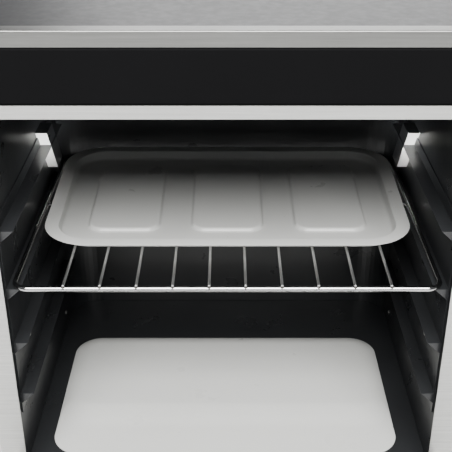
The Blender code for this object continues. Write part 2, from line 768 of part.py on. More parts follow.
def make_control_panel():
    """Panel right of the door with the openings for the knobs' shafts and the lens."""
    plate = rectangle((PANEL_LEFT, FOOT_HEIGHT), (CASING_RIGHT, FASCIA_TOP))
    panel = place("control_panel", prism("y", plate, -PANEL_PROUD, PANEL_BACK), BLACK_PAINT)
    holes = bmesh.new()
    past = PANEL_THICKNESS + OVERRUN
    for z in control_places().values():
        spot = (CONTROL_X, -PANEL_PROUD, z)
        add_turned(holes, rod(SHAFT_HOLE, -OVERRUN, past), spot, (0, 1, 0), ROUND_SIDES)
    lens_hole = rod(LENS_RADIUS + SEAT, -OVERRUN, past)
    add_turned(holes, lens_hole, lens_place(), (0, 1, 0), ROUND_SIDES)
    combine(panel, "panel_holes", holes)


def make_indicator_lens():
    """Amber lens, pushed through the panel from behind."""
    back = PANEL_THICKNESS + SEAT
    profile = [
        (0, -LENS_RISE),
        (LENS_RADIUS / 2, -LENS_RISE),
        (LENS_RADIUS, 0),
        (LENS_RADIUS, back),
        (LENS_FLANGE, back),
        (LENS_FLANGE, back + LENS_DEPTH / 3),
        (LENS_RADIUS, back + LENS_DEPTH / 3),
        (LENS_RADIUS, back + LENS_DEPTH),
        (0, back + LENS_DEPTH),
    ]
    place("indicator_lens", turned(profile, lens_place(), (0, 1, 0)), AMBER)


# Cavity
def bush_places():
    """Where the upper elements pass the side walls: (depth, height) of each axis."""
    return [(y, ROOF_Z - UPPER_ELEMENT_DROP) for y in (ELEMENT_FRONT_Y, ELEMENT_REAR_Y)]


def holder_places():
    """Where the lower elements pass their holders: (depth, height) of each axis."""
    return [(y, PAN_TOP + LOWER_ELEMENT_RISE) for y in (ELEMENT_FRONT_Y, ELEMENT_REAR_Y)]


def side_holes(places, face, radius):
    """Rods along x through both sides at the given (depth, height) places."""
    shape = bmesh.new()
    for y, z in places:
        for side in (-1, 1):
            hole = rod(radius, -OVERRUN - SHEET, SHEET + OVERRUN)
            add_turned(shape, hole, (side * face, y, z), (side, 0, 0), ROUND_SIDES)
    return shape


def make_cavity_walls():
    """Left wall, back wall and right wall in one enamelled sheet with round back corners."""
    corners = (
        (-CAVITY_HALF, BEHIND_FRAME),
        (-CAVITY_HALF, CAVITY_DEPTH),
        (CAVITY_HALF, CAVITY_DEPTH),
        (CAVITY_HALF, BEHIND_FRAME),
    )
    outline = folded(bent(corners, CAVITY_CORNER, 2 * CORNER_STEPS))
    walls = place("cavity_walls", prism("z", outline, FLOOR_Z + SEAT, ROOF_Z - SEAT), BLACK_ENAMEL)
    combine(walls, "wall_bush_holes", side_holes(bush_places(), CAVITY_HALF, BUSH_NECK + SEAT))


def make_cavity_plates():
    """Floor and roof of the cavity, which close the walls below and above."""
    reach = WALL_OUTER + PLATE_FLANGE
    rear = CAVITY_DEPTH + SHEET + PLATE_FLANGE
    corner = CAVITY_CORNER + SHEET + PLATE_FLANGE
    outline = rounded_rectangle((-reach, BEHIND_FRAME), (reach, rear), corner, CORNER_STEPS, SHEET)
    place("cavity_floor", prism("z", outline, FLOOR_Z - SHEET, FLOOR_Z), BLACK_ENAMEL)
    place("cavity_roof", prism("z", outline, ROOF_Z, ROOF_Z + SHEET), BLACK_ENAMEL)


def rail_levels():
    """Heights of the ledges, from the lowest up."""
    return [RACK_LEDGE + k * RAIL_PITCH for k in range(-RAIL_LEVELS_BELOW, RAIL_LEVELS_ABOVE + 1)]


def make_rail_plates():
    """A pressed plate on each side wall: every level is a flat ledge with a sloped underside."""
    path = [(0, rail_levels()[0] - RAIL_SLOPE - RAIL_END)]
    for ledge in rail_levels():
        path += [(0, ledge - RAIL_SLOPE), (RAIL_PROUD, ledge), (0, ledge)]
    path.append((0, rail_levels()[-1] + RAIL_END))
    face = CAVITY_HALF - SEAT
    for side, name in ((-1, "left_rail_plate"), (1, "right_rail_plate")):
        outline = [(side * (face - SHEET - out), z) for out, z in rail_section(path)]
        place(name, prism("y", outline, RAIL_FRONT, RAIL_FRONT + RAIL_LENGTH), BLACK_ENAMEL)


def rail_section(path):
    """Closed section of a rail plate: ledges in front of a flat back."""
    return path + [(-SHEET, path[-1][1]), (-SHEET, path[0][1])]


# Rack and trays
def make_wire_rack():
    """Chromed rack: a round frame wire, a cross bar and wires welded across them."""
    rack_guide = hinge_guide("rack_slide_guide", (0, RACK_FRONT, RACK_Z))
    length = RACK_REAR - RACK_FRONT
    path = rounded_rectangle((-RACK_HALF_WIDTH, 0), (RACK_HALF_WIDTH, length), RACK_CORNER, BEND_STEPS)
    shape = bmesh.new()
    add_wire_loop(shape, path, RACK_FRAME_RADIUS, RACK_FRAME_SIDES)
    rack = place("wire_rack", shape, CHROME, rack_guide)
    bar = rod(RACK_WIRE_RADIUS + RACK_WELD, -RACK_HALF_WIDTH, RACK_HALF_WIDTH)
    bar_place = (0, RACK_BAR_Y - RACK_FRONT, 0)
    combine(rack, "rack_cross_bar", turned(bar, bar_place, (1, 0, 0), RACK_WIRE_SIDES), "UNION")
    wires = bmesh.new()
    first = -RACK_WIRE_PITCH * (RACK_WIRE_COUNT - 1) / 2
    for k in range(RACK_WIRE_COUNT):
        spot = (first + k * RACK_WIRE_PITCH, 0, RACK_WIRE_Z - RACK_Z)
        reach = RACK_FRAME_RADIUS / 2
        wire = rod(RACK_WIRE_RADIUS, -reach, length + reach)
        add_turned(wires, wire, spot, (0, 1, 0), RACK_WIRE_SIDES)
    combine(rack, "rack_wires", wires, "UNION")


def tray_ring(inset, height):
    """Outline of the baking tray, drawn in from its rim, at a height over its underside."""
    half = TRAY_WIDTH / 2 - inset
    radius = max(TRAY_CORNER - inset, TRAY_INNER_CORNER)
    outline = rounded_rectangle((-half, inset), (half, TRAY_LENGTH - inset), radius)
    return along("z", outline, height)


def pad_ring(middle, inset, height):
    """Outline of one raised pad of the baking tray."""
    half = PAD_WIDTH / 2 - inset
    low = (middle - half, PAD_FRONT - TRAY_FRONT + inset)
    high = (middle + half, TRAY_LENGTH - PAD_REAR_INSET - inset)
    return along("z", rounded_rectangle(low, high, PAD_CORNER - inset), height)


def make_baking_tray():
    """Pressed tray: rolled rim with a hem, sloped walls and three raised pads."""
    tray_guide = hinge_guide("tray_slide_guide", (0, TRAY_FRONT, TRAY_UNDERSIDE))
    rim = SHEET + TRAY_DEPTH
    foot = TRAY_RIM + TRAY_WALL_RUN
    shape = bmesh.new()
    add_loft(
        shape,
        [
            tray_ring(foot + TRAY_FILLET, SHEET),
            tray_ring(foot, SHEET + TRAY_FILLET / 3),
            tray_ring(TRAY_RIM + TRAY_EDGE_ROUND, rim - TRAY_EDGE_ROUND),
            tray_ring(TRAY_RIM - TRAY_EDGE_ROUND, rim),
            tray_ring(TRAY_EDGE_ROUND, rim),
            tray_ring(TRAY_EDGE_ROUND / 3, rim - TRAY_EDGE_ROUND / 3),
            tray_ring(0, rim - TRAY_EDGE_ROUND),
            tray_ring(0, rim - TRAY_HEM),
            tray_ring(SHEET, rim - TRAY_HEM),
            tray_ring(SHEET, rim - SHEET),
            tray_ring(TRAY_RIM - SHEET, rim - SHEET),
            tray_ring(foot, 0),
        ],
    )
    tray = place("baking_tray", shape, GREY_ENAMEL, tray_guide)
    raised = bmesh.new()
    hollow = bmesh.new()
    first = -PAD_PITCH * (PAD_COUNT - 1) / 2
    for k in range(PAD_COUNT):
        middle = first + k * PAD_PITCH
        crest = pad_ring(middle, PAD_SLOPE, SHEET + PAD_HEIGHT)
        under = pad_ring(middle, PAD_SLOPE + SHEET / 2, PAD_HEIGHT)
        add_loft(raised, [pad_ring(middle, 0, SHEET / 2), pad_ring(middle, 0, SHEET), crest])
        add_loft(hollow, [pad_ring(middle, SHEET, -OVERRUN), pad_ring(middle, SHEET, 0), under])
    combine(tray, "tray_pads", raised, "UNION")
    combine(tray, "tray_pad_hollows", hollow)


def crumb_ring(inset, height):
    """Outline of the crumb tray at an inset and height; the front margin is the widest."""
    half = CRUMB_WIDTH / 2 - inset
    low = (-half, CRUMB_RAMP * (inset / CRUMB_MARGIN) ** CRUMB_RAMP_CURVE)
    high = (half, CRUMB_REAR - CRUMB_FRONT - inset)
    return along("z", rounded_rectangle(low, high, CRUMB_CORNER - inset, CRUMB_STEPS), height)


def crumb_profile():
    """Inset and height of the underside from the edge of the raised middle outwards."""
    radius = (CRUMB_MARGIN**2 + CRUMB_FALL**2) / (2 * CRUMB_FALL)
    steep = math.asin(CRUMB_MARGIN / radius)
    profile = []
    for k in range(BEND_STEPS + 1):
        angle = steep * k / BEND_STEPS
        inset = max(CRUMB_MARGIN - radius * math.sin(angle), 0)
        profile.append((inset, CRUMB_FALL - radius * (1 - math.cos(angle))))
    return profile


def make_crumb_tray():
    """Crowned drawer tray with falling margins and a pull lip, on the cavity floor."""
    crumb_guide = hinge_guide("crumb_slide_guide", (CRUMB_X, CRUMB_FRONT, FLOOR_Z + SEAT))
    rings = [crumb_ring(inset, height + SHEET) for inset, height in crumb_profile()]
    rings += [crumb_ring(inset, height) for inset, height in reversed(crumb_profile())]
    shape = bmesh.new()
    add_loft(shape, rings)
    tray = place("crumb_tray", shape, GREY_ENAMEL, crumb_guide)
    lip_top = SHEET * 5 / 4
    corners = (
        (SHEET * 2 / 3, lip_top),
        (-CRUMB_LIP, lip_top),
        (-CRUMB_LIP, lip_top + CRUMB_LIP_RISE),
    )
    outline = folded(bent(corners, SHEET))
    lip = prism("x", outline, -CRUMB_LIP_WIDTH / 2, CRUMB_LIP_WIDTH / 2)
    combine(tray, "crumb_pull_lip", lip, "UNION")


# Heating
def make_elements():
    """Four straight sheathed elements: two under the roof, two below the cavity floor.

    The lower ones have a crimped collar outside each holder, the upper ones sit in porcelain.
    """
    collar_seat = CAVITY_HALF - HOLDER_INSET + SEAT
    upper = [(WALL_OUTER + ELEMENT_PAST_WALL, ELEMENT_RADIUS)]
    lower = [
        (collar_seat, ELEMENT_RADIUS),
        (collar_seat, BUSH_NECK),
        (collar_seat + BUSH_THICKNESS, BUSH_NECK),
        (collar_seat + BUSH_THICKNESS, ELEMENT_RADIUS),
        (collar_seat + ELEMENT_PAST_WALL, ELEMENT_RADIUS),
    ]
    levels = (("upper", bush_places(), upper), ("lower", holder_places(), lower))
    for level, places, steps in levels:
        reach = steps[-1][0]
        half = steps + [(reach, ELEMENT_PIN_RADIUS), (reach + ELEMENT_PIN, ELEMENT_PIN_RADIUS)]
        profile = [(0, -half[-1][0])] + [(r, -x) for x, r in reversed(half)]
        profile += [(r, x) for x, r in half] + [(0, half[-1][0])]
        for depth, (y, z) in zip(("front", "rear"), places):
            element = turned(profile, (0, y, z), (1, 0, 0), HIDDEN_SIDES)
            place(f"{level}_{depth}_element", element, SHEATH)


def make_bushes():
    """Porcelain bushes that carry the upper elements in the side walls."""
    bore = ELEMENT_RADIUS + SEAT
    profile = [
        (bore, -SHEET),
        (BUSH_NECK, -SHEET),
        (BUSH_NECK, SEAT),
        (BUSH_FLANGE, SEAT),
        (BUSH_FLANGE, SEAT + BUSH_THICKNESS),
        (bore, SEAT + BUSH_THICKNESS),
    ]
    for depth, (y, z) in zip(("front", "rear"), bush_places()):
        for side, hand in ((-1, "left"), (1, "right")):
            bush = turned(profile, (side * WALL_OUTER, y, z), (side, 0, 0), ROUND_SIDES, True)
            place(f"{depth}_{hand}_bush", bush, PORCELAIN)


def make_element_holders():
    """Upright sheets on the base pan that hold the lower elements."""
    face = CAVITY_HALF - HOLDER_INSET
    low = PAN_TOP + SEAT
    top = low + HOLDER_HEIGHT
    front = ELEMENT_FRONT_Y - HOLDER_MARGIN
    rear = ELEMENT_REAR_Y + HOLDER_MARGIN
    for side, name in ((-1, "left_element_holder"), (1, "right_element_holder")):
        path = [(side * x, z) for x, z in ((face - HOLDER_FOOT, low), (face, low), (face, top))]
        outline = folded(path if side == 1 else list(reversed(path)))
        holder = place(name, prism("y", outline, front, rear), GALVANISED)
        holes = side_holes(holder_places(), face - SHEET, ELEMENT_RADIUS + SEAT)
        combine(holder, name + "_holes", holes)


def make_heat_reflector():
    """Bright folded sheet under the lower elements."""
    low = PAN_TOP + SEAT
    high = low + REFLECTOR_RISE
    front = ELEMENT_FRONT_Y - REFLECTOR_MARGIN
    rear = ELEMENT_REAR_Y + REFLECTOR_MARGIN
    path = (
        (rear, low),
        (rear - REFLECTOR_FOOT, low),
        (rear - REFLECTOR_FOOT - REFLECTOR_RAMP, high),
        (front + REFLECTOR_FOOT + REFLECTOR_RAMP, high),
        (front + REFLECTOR_FOOT, low),
        (front, low),
    )
    outline = [(y, z + SHEET) for y, z in folded(path)]
    reach = CAVITY_HALF - HOLDER_INSET - HOLDER_FOOT - SHEET
    place("heat_reflector", prism("x", outline, -reach, reach), GALVANISED)


def make_heat_shield():
    """Partition that keeps the cavity's heat from the controls, standing on the base pan."""
    low = PAN_TOP + SEAT
    top = TOP_Z - SHEET - SHIELD_TOP_GAP
    path = ((SHIELD_X + SHIELD_FOOT, low), (SHIELD_X, low), (SHIELD_X, top))
    outline = folded(list(reversed(path)))
    rear = REAR_Y - REAR_FLANGE - SHIELD_REAR_INSET
    place("heat_shield", prism("y", outline, SHIELD_FRONT, rear), GALVANISED)


# Controls
def make_control_bracket():
    """Channel behind the panel that carries the three controls."""
    left = SHIELD_X + SHEET + BRACKET_MARGIN
    right = INNER_RIGHT - BRACKET_MARGIN
    front = PANEL_BACK + SEAT
    path = ((right, front), (right, BRACKET_Y), (left, BRACKET_Y), (left, front))
    outline = folded(list(reversed(path)))
    heights = list(control_places().values())
    channel = prism("z", outline, heights[-1] - BRACKET_END, heights[0] + BRACKET_END)
    bracket = place("control_bracket", channel, GALVANISED)
    holes = bmesh.new()
    for z in heights:
        spot = (CONTROL_X, BRACKET_Y, z)
        add_turned(holes, rod(SHAFT_HOLE, -OVERRUN - SHEET, SHEET + OVERRUN), spot, (0, 1, 0), ROUND_SIDES)
    combine(bracket, "bracket_holes", holes)


def stepped_box(width, height, depth):
    """Box-shaped control with rounded corners and a smaller rear part."""
    shape = bmesh.new()
    corner = (width / 2, height / 2)
    rear_corner = (corner[0] - CONTROL_STEP, corner[1] - CONTROL_STEP)
    rear_round = CONTROL_ROUND - CONTROL_STEP / 2
    full = rounded_rectangle((-corner[0], -corner[1]), corner, CONTROL_ROUND, SLOT_STEPS)
    rear = rounded_rectangle((-rear_corner[0], -rear_corner[1]), rear_corner, rear_round, SLOT_STEPS)
    add_loft(
        shape,
        [
            along("y", full, 0),
            along("y", full, depth - CONTROL_REAR_DEPTH),
            along("y", rear, depth - CONTROL_REAR_DEPTH),
            along("y", rear, depth),
        ],
    )
    return shape


def make_controls():
    """Thermostat, function switch and timer behind the bracket, each bored for its shaft."""
    heights = control_places()
    rear_radius = SWITCH_RADIUS - CONTROL_STEP
    switch_profile = [
        (0, 0),
        (SWITCH_RADIUS, 0),
        (SWITCH_RADIUS, SWITCH_DEPTH - CONTROL_REAR_DEPTH),
        (rear_radius, SWITCH_DEPTH - CONTROL_REAR_DEPTH),
        (rear_radius, SWITCH_DEPTH),
        (0, SWITCH_DEPTH),
    ]
    thermostat = stepped_box(THERMOSTAT_SIZE, THERMOSTAT_SIZE, THERMOSTAT_DEPTH)
    switch = turned(switch_profile, (0, 0, 0), (0, 1, 0))
    timer = stepped_box(TIMER_WIDTH, TIMER_HEIGHT, TIMER_DEPTH)
    shapes = (
        ("thermostat", "temperature", thermostat, ZINC),
        ("function_switch", "function", switch, NYLON),
        ("bell_timer", "timer", timer, ZINC),
    )
    for name, control, shape, material in shapes:
        body = place(name, shape, material, ORIGIN, (CONTROL_X, CONTROL_FACE_Y, heights[control]))
        bore = rod(SHAFT_RADIUS + SEAT, -OVERRUN, SHAFT_IN_BODY + SEAT)
        combine(body, name + "_bore", turned(bore, (0, 0, 0), (0, 1, 0)))


def make_knobs():
    """Three knobs with their shafts, each on an empty on its own axis."""
    knob_back = -PANEL_PROUD - KNOB_GAP
    start = CONTROL_FACE_Y + SHAFT_IN_BODY
    for name, z in control_places().items():
        axis = hinge_guide(name + "_axis", (CONTROL_X, 0, z))
        shaft = rod(SHAFT_RADIUS, knob_back - SHAFT_IN_KNOB, start)
        place(name + "_shaft", turned(shaft, (0, 0, 0), (0, 1, 0)), ZINC, axis)
        profile = [
            (0, knob_back),
            (KNOB_RADIUS, knob_back),
            (KNOB_RADIUS, knob_back - KNOB_SKIRT),
            (KNOB_FRONT_RADIUS + KNOB_ROUND, knob_back - KNOB_SKIRT - KNOB_ROUND),
            (KNOB_FRONT_RADIUS, knob_back - KNOB_DEPTH + KNOB_ROUND),
            (KNOB_FRONT_RADIUS - KNOB_ROUND, knob_back - KNOB_DEPTH),
            (0, knob_back - KNOB_DEPTH),
        ]
        body = turned(profile, (0, 0, 0), (0, 1, 0), FINE_SIDES)
        knob = place(name + "_knob", body, BLACK_PLASTIC, axis)
        combine(knob, name + "_grip", grip_bar(knob_back - KNOB_DEPTH), "UNION")
        bore = rod(SHAFT_RADIUS + SEAT, knob_back - SHAFT_IN_KNOB - SEAT, knob_back + OVERRUN)
        combine(knob, name + "_bore", turned(bore, (0, 0, 0), (0, 1, 0)))


def grip_bar(face):
    """Raised bar across a knob's face, narrower at its crest."""
    crest = face - KNOB_BAR_RISE
    levels = (
        (face + KNOB_ROUND, 0),
        (crest + KNOB_ROUND, KNOB_BAR_TAPER),
        (crest, KNOB_BAR_TAPER + KNOB_ROUND),
    )
    rings = []
    for distance, draw in levels:
        half = KNOB_BAR_WIDTH / 2 - draw
        reach = KNOB_FRONT_RADIUS - KNOB_ROUND - draw
        outline = rounded_rectangle((-half, -reach), (half, reach), half - SEAT, SLOT_STEPS)
        rings.append(along("y", outline, distance))
    shape = bmesh.new()
    add_loft(shape, rings)
    return shape


def make_thermal_cutout():
    """Safety cut-out, a disc with a mounting tab on the outside of the right wall."""
    spot = (WALL_OUTER + SEAT, CUTOUT_Y, CUTOUT_Z)
    tab = slot_outline((CUTOUT_Y, CUTOUT_Z), 2 * CUTOUT_TAB, CUTOUT_RADIUS)
    cutout = place("thermal_cutout", prism("x", tab, spot[0], spot[0] + CUTOUT_TAB_THICKNESS), ZINC)
    disc = rod(CUTOUT_RADIUS, CUTOUT_TAB_THICKNESS / 2, CUTOUT_DEPTH)
    combine(cutout, "cutout_disc", turned(disc, spot, (1, 0, 0)), "UNION")


def make_terminal_block():
    """Nylon block with three terminal wells, on the base pan in front of the gland."""
    low = PAN_TOP + SEAT
    middle_x = CASING_RIGHT - GLAND_RIGHT_INSET
    middle_y = REAR_Y - TERMINAL_REAR_INSET
    outline = rounded_rectangle(
        (middle_x - TERMINAL_LENGTH / 2, middle_y - TERMINAL_WIDTH / 2),
        (middle_x + TERMINAL_LENGTH / 2, middle_y + TERMINAL_WIDTH / 2),
        CONTROL_ROUND / 2,
        SLOT_STEPS,
    )
    block = place("terminal_block", prism("z", outline, low, low + TERMINAL_HEIGHT), NYLON)
    wells = bmesh.new()
    pitch = TERMINAL_LENGTH / TERMINAL_POLES
    first = middle_x - pitch * (TERMINAL_POLES - 1) / 2
    for k in range(TERMINAL_POLES):
        spot = (first + k * pitch, middle_y, low + TERMINAL_HEIGHT)
        well = rod(TERMINAL_WELL_RADIUS, -TERMINAL_WELL_DEPTH, OVERRUN)
        add_turned(wells, well, spot, (0, 0, 1), HIDDEN_SIDES)
    combine(block, "terminal_wells", wells)


# Door, drawn closed round its hinge axis and hung open
DOOR_AXIS = hinge_guide("door_hinge_axis", (0, HINGE_Y, HINGE_Z), math.pi / 2)


def window(margin):
    """Outline of the door's window, widened by a margin."""
    low = (-(DOOR_HALF - WINDOW_SIDE) - margin, WINDOW_BOTTOM - margin)
    high = (DOOR_HALF - WINDOW_SIDE + margin, DOOR_RISE - WINDOW_TOP + margin)
    return rounded_rectangle(low, high, WINDOW_CORNER + max(margin, 0))


def post_places():
    """Handle posts, as (x, height over the hinge axis)."""
    return [(side * POST_SPREAD / 2, DOOR_RISE - HANDLE_DROP) for side in (-1, 1)]


def door_holes(places, radius, start, end):
    """Rods through the door's thickness at the given places."""
    shape = bmesh.new()
    for x, z in places:
        add_turned(shape, rod(radius, start, end), (x, 0, z), (0, 1, 0), HIDDEN_SIDES)
    return shape


def make_door_outer_frame():
    """Outer frame with a rolled lower edge round the hinge axis and a rebate for the glass."""
    low_angle = 2 * math.pi - math.acos(DOOR_SPLIT / BARREL)
    outline = arc((0, 0), BARREL, math.pi, low_angle, 2 * CORNER_STEPS)
    outline += [(DOOR_SPLIT, DOOR_RISE)]
    edge_centre = (DOOR_EDGE_ROUND - BARREL, DOOR_RISE - DOOR_EDGE_ROUND)
    outline += arc(edge_centre, DOOR_EDGE_ROUND, math.pi / 2, math.pi, CORNER_STEPS)
    frame = place("door_outer_frame", prism("x", outline, -DOOR_HALF, DOOR_HALF), BLACK_PAINT, DOOR_AXIS)
    combine(frame, "door_window", prism("y", window(0), -BARREL - OVERRUN, DOOR_SPLIT + OVERRUN))
    rebate_floor = DOOR_SPLIT - GLASS_THICKNESS - SEAT
    rebate = prism("y", window(GLASS_LAP + SEAT), rebate_floor, DOOR_SPLIT + OVERRUN)
    combine(frame, "glass_rebate", rebate)
    bores = bmesh.new()
    for side in (-1, 1):
        hole = rod(HINGE_PIN_RADIUS + SEAT, -HINGE_PIN_IN_DOOR - SEAT, OVERRUN)
        add_turned(bores, hole, (side * DOOR_HALF, 0, 0), (side, 0, 0), ROUND_SIDES)
    combine(frame, "hinge_pin_bores", bores)
    hole = SCREW_SHANK + SCREW_CLEARANCE
    post_holes = door_holes(post_places(), hole, -BARREL - OVERRUN, BARREL)
    combine(frame, "outer_frame_post_holes", post_holes)


def make_door_inner_frame():
    """Inner frame that clamps the glass, with bevelled edges."""
    start = DOOR_SPLIT + SEAT
    levels = ((start, 0), (BARREL - DOOR_INNER_CHAMFER, 0), (BARREL, DOOR_INNER_CHAMFER))
    rings = []
    for distance, draw in levels:
        half = DOOR_HALF - DOOR_INNER_INSET - draw
        high = (half, DOOR_RISE - DOOR_INNER_INSET - draw)
        outline = rounded_rectangle((-half, draw), high, DOOR_EDGE_ROUND)
        rings.append(along("y", outline, distance))
    shape = bmesh.new()
    add_loft(shape, rings)
    frame = place("door_inner_frame", shape, BLACK_ENAMEL, DOOR_AXIS)
    opening = bmesh.new()
    edge = DOOR_INNER_CHAMFER
    add_loft(
        opening,
        [
            along("y", window(0), start - OVERRUN),
            along("y", window(0), BARREL - edge),
            along("y", window(edge), BARREL),
            along("y", window(edge), BARREL + OVERRUN),
        ],
    )
    combine(frame, "inner_window", opening)
    hole = SCREW_SHANK + SCREW_CLEARANCE
    post_holes = door_holes(post_places(), hole, start - OVERRUN, BARREL + OVERRUN)
    combine(frame, "inner_frame_holes", post_holes)


def make_door_glass():
    """Smoked pane between the two frames."""
    pane = prism("y", window(GLASS_LAP), DOOR_SPLIT - GLASS_THICKNESS, DOOR_SPLIT)
    place("door_glass", pane, SMOKED_GLASS, DOOR_AXIS)


def handle_bar(extra):
    """The handle's bar, or with an extra size its clearance."""
    end = HANDLE_LENGTH / 2 + extra
    radius = HANDLE_RADIUS + extra
    profile = [
        (0, -end),
        (radius - HANDLE_END_ROUND, -end),
        (radius, HANDLE_END_ROUND - end),
        (radius, end - HANDLE_END_ROUND),
        (radius - HANDLE_END_ROUND, end),
        (0, end),
    ]
    return turned(profile, (0, -BARREL - HANDLE_REACH, DOOR_RISE - HANDLE_DROP), (1, 0, 0), FINE_SIDES)


def make_handle():
    """Round bar handle on two posts, screwed on from inside the door."""
    place("door_handle", handle_bar(0), BRUSHED_STEEL, DOOR_AXIS)
    outer = -BARREL - HANDLE_REACH
    profile = [
        (0, outer),
        (POST_RADIUS, outer),
        (POST_RADIUS, -BARREL - SEAT - POST_FOOT),
        (POST_RADIUS + POST_FLARE, -BARREL - SEAT - POST_FLARE),
        (POST_RADIUS + POST_FLARE, -BARREL - SEAT),
        (0, -BARREL - SEAT),
    ]
    hole = SCREW_SHANK + SCREW_CLEARANCE
    depth = -BARREL - HANDLE_REACH / 3
    for hand, (x, z) in zip(("left", "right"), post_places()):
        body = turned(profile, (x, 0, z), (0, 1, 0))
        post = place(hand + "_handle_post", body, BRUSHED_STEEL, DOOR_AXIS)
        combine(post, hand + "_handle_clearance", handle_bar(SEAT))
        bore = door_holes([(x, z)], hole, depth - SEAT, -BARREL + OVERRUN)
        combine(post, hand + "_post_bore", bore)
        screw = turned(screw_profile(BARREL - depth), (x, BARREL, z), (0, 1, 0))
        place(hand + "_handle_screw", screw, ZINC, DOOR_AXIS)


def make_hinge_pins():
    """Headed pins in the ends of the door, which turn in the brackets' ears."""
    outside = EAR_GAP + EAR_THICKNESS + SEAT
    profile = [
        (0, -HINGE_PIN_IN_DOOR),
        (HINGE_PIN_RADIUS, -HINGE_PIN_IN_DOOR),
        (HINGE_PIN_RADIUS, outside),
        (HINGE_PIN_HEAD, outside),
        (HINGE_PIN_HEAD, outside + HINGE_PIN_HEAD_DEPTH),
        (0, outside + HINGE_PIN_HEAD_DEPTH),
    ]
    for side, hand in ((-1, "left"), (1, "right")):
        pin = turned(profile, (side * DOOR_HALF, 0, 0), (side, 0, 0))
        place(hand + "_hinge_pin", pin, ZINC, DOOR_AXIS)


def make_hinge_brackets():
    """Angle brackets on the frame, whose ears carry the door's pins."""
    near = DOOR_HALF + EAR_GAP
    corners = ((near, -EAR_REACH), (near, -SEAT), (FRAME_RIGHT - SEAT, -SEAT))
    for side, name in ((-1, "left_hinge_bracket"), (1, "right_hinge_bracket")):
        path = [(side * x, y) for x, y in corners]
        outline = folded(path, -EAR_THICKNESS * side)
        bracket = place(name, prism("z", outline, HINGE_Z - EAR_LOW, HINGE_Z + EAR_HIGH), ZINC)
        bore = rod(HINGE_PIN_RADIUS + SEAT, -OVERRUN, EAR_THICKNESS + OVERRUN)
        combine(bracket, name + "_bore", turned(bore, (side * near, HINGE_Y, HINGE_Z), (side, 0, 0)))


def build():
    """Make every piece, from the outside in."""
    make_outer_casing()
    make_base_pan()
    make_rear_panel()
    make_cord_gland()
    make_feet()
    make_front_frame()
    make_fascia_band()
    make_top_trim()
    make_control_panel()
    make_indicator_lens()
    make_cavity_walls()
    make_cavity_plates()
    make_rail_plates()
    make_wire_rack()
    make_baking_tray()
    make_crumb_tray()
    make_elements()
    make_bushes()
    make_element_holders()
    make_heat_reflector()
    make_heat_shield()
    make_control_bracket()
    make_controls()
    make_knobs()
    make_thermal_cutout()
    make_terminal_block()
    make_door_outer_frame()
    make_door_inner_frame()
    make_door_glass()
    make_handle()
    make_hinge_pins()
    make_hinge_brackets()


build()
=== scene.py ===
# %% [markdown]
# # A countertop mini oven, dressed for the camera
#
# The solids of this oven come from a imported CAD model, and they already have the right sizes.
# This lesson gives them the finishes of the real thing: vitreous enamel, brushed steel, chrome
# plate, smoked glass. It also replaces the pieces that are seen closest, the wire rack and the
# two trays, with finer ones, and adds wall stops, small fasteners and dial marks.
#
# We start by loading the solids. They stay where they are for the whole lesson.

# %% Load the solids
import math

import bmesh
import bpy
from mathutils import Matrix, Vector


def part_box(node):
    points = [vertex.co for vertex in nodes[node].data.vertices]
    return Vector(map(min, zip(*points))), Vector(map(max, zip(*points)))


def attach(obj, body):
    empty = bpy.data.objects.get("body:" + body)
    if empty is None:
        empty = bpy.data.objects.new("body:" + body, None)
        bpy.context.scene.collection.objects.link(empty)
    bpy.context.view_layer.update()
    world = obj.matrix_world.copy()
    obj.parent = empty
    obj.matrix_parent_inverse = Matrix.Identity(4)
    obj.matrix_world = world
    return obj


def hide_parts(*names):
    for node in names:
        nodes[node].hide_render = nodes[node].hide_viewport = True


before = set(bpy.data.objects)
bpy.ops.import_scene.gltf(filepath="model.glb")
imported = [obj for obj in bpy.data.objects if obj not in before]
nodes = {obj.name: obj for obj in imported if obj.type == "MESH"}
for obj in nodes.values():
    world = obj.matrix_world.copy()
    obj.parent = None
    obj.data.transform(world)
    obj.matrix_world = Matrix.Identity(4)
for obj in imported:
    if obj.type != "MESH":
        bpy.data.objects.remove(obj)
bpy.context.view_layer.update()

# %% [markdown]
# ## Places that we need more than once
#
# Everything is in metres. The oven stands on z = 0 and its door opens towards -y. The new pieces
# take their places from the solids, so they can't drift away from what carries them.

# %% Measure the solids
MM = 0.001
wall_low, wall_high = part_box("cavity_walls")
frame_low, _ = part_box("front_frame")
MIDDLE_X = (wall_low.x + wall_high.x) / 2
FRONT_Y = frame_low.y
print("cavity middle", round(MIDDLE_X, 4), "front plane", round(FRONT_Y, 5))

# %% [markdown]
# ## Building finishes from nodes
#
# Each finish is a Principled shader with a few texture nodes in front of it. All of them read
# Object coordinates. Because every piece here has its origin at the world's origin, those are
# plain metres, so a noise with a scale of 1000 has grains of about a millimetre. A Mapping node
# stretches a noise along one axis, which is how a brushed surface gets its lines.

# %% A finish and its textures
def new_finish(name, colour, roughness, metallic=0.0):
    """A material with its own node tree and shader."""
    material = bpy.data.materials.new(name)
    material.use_nodes = True
    shader = material.node_tree.nodes["Principled BSDF"]
    shader.inputs["Base Color"].default_value = (*colour, 1)
    shader.inputs["Roughness"].default_value = roughness
    shader.inputs["Metallic"].default_value = metallic
    material.diffuse_color = (*colour, 1)
    return material


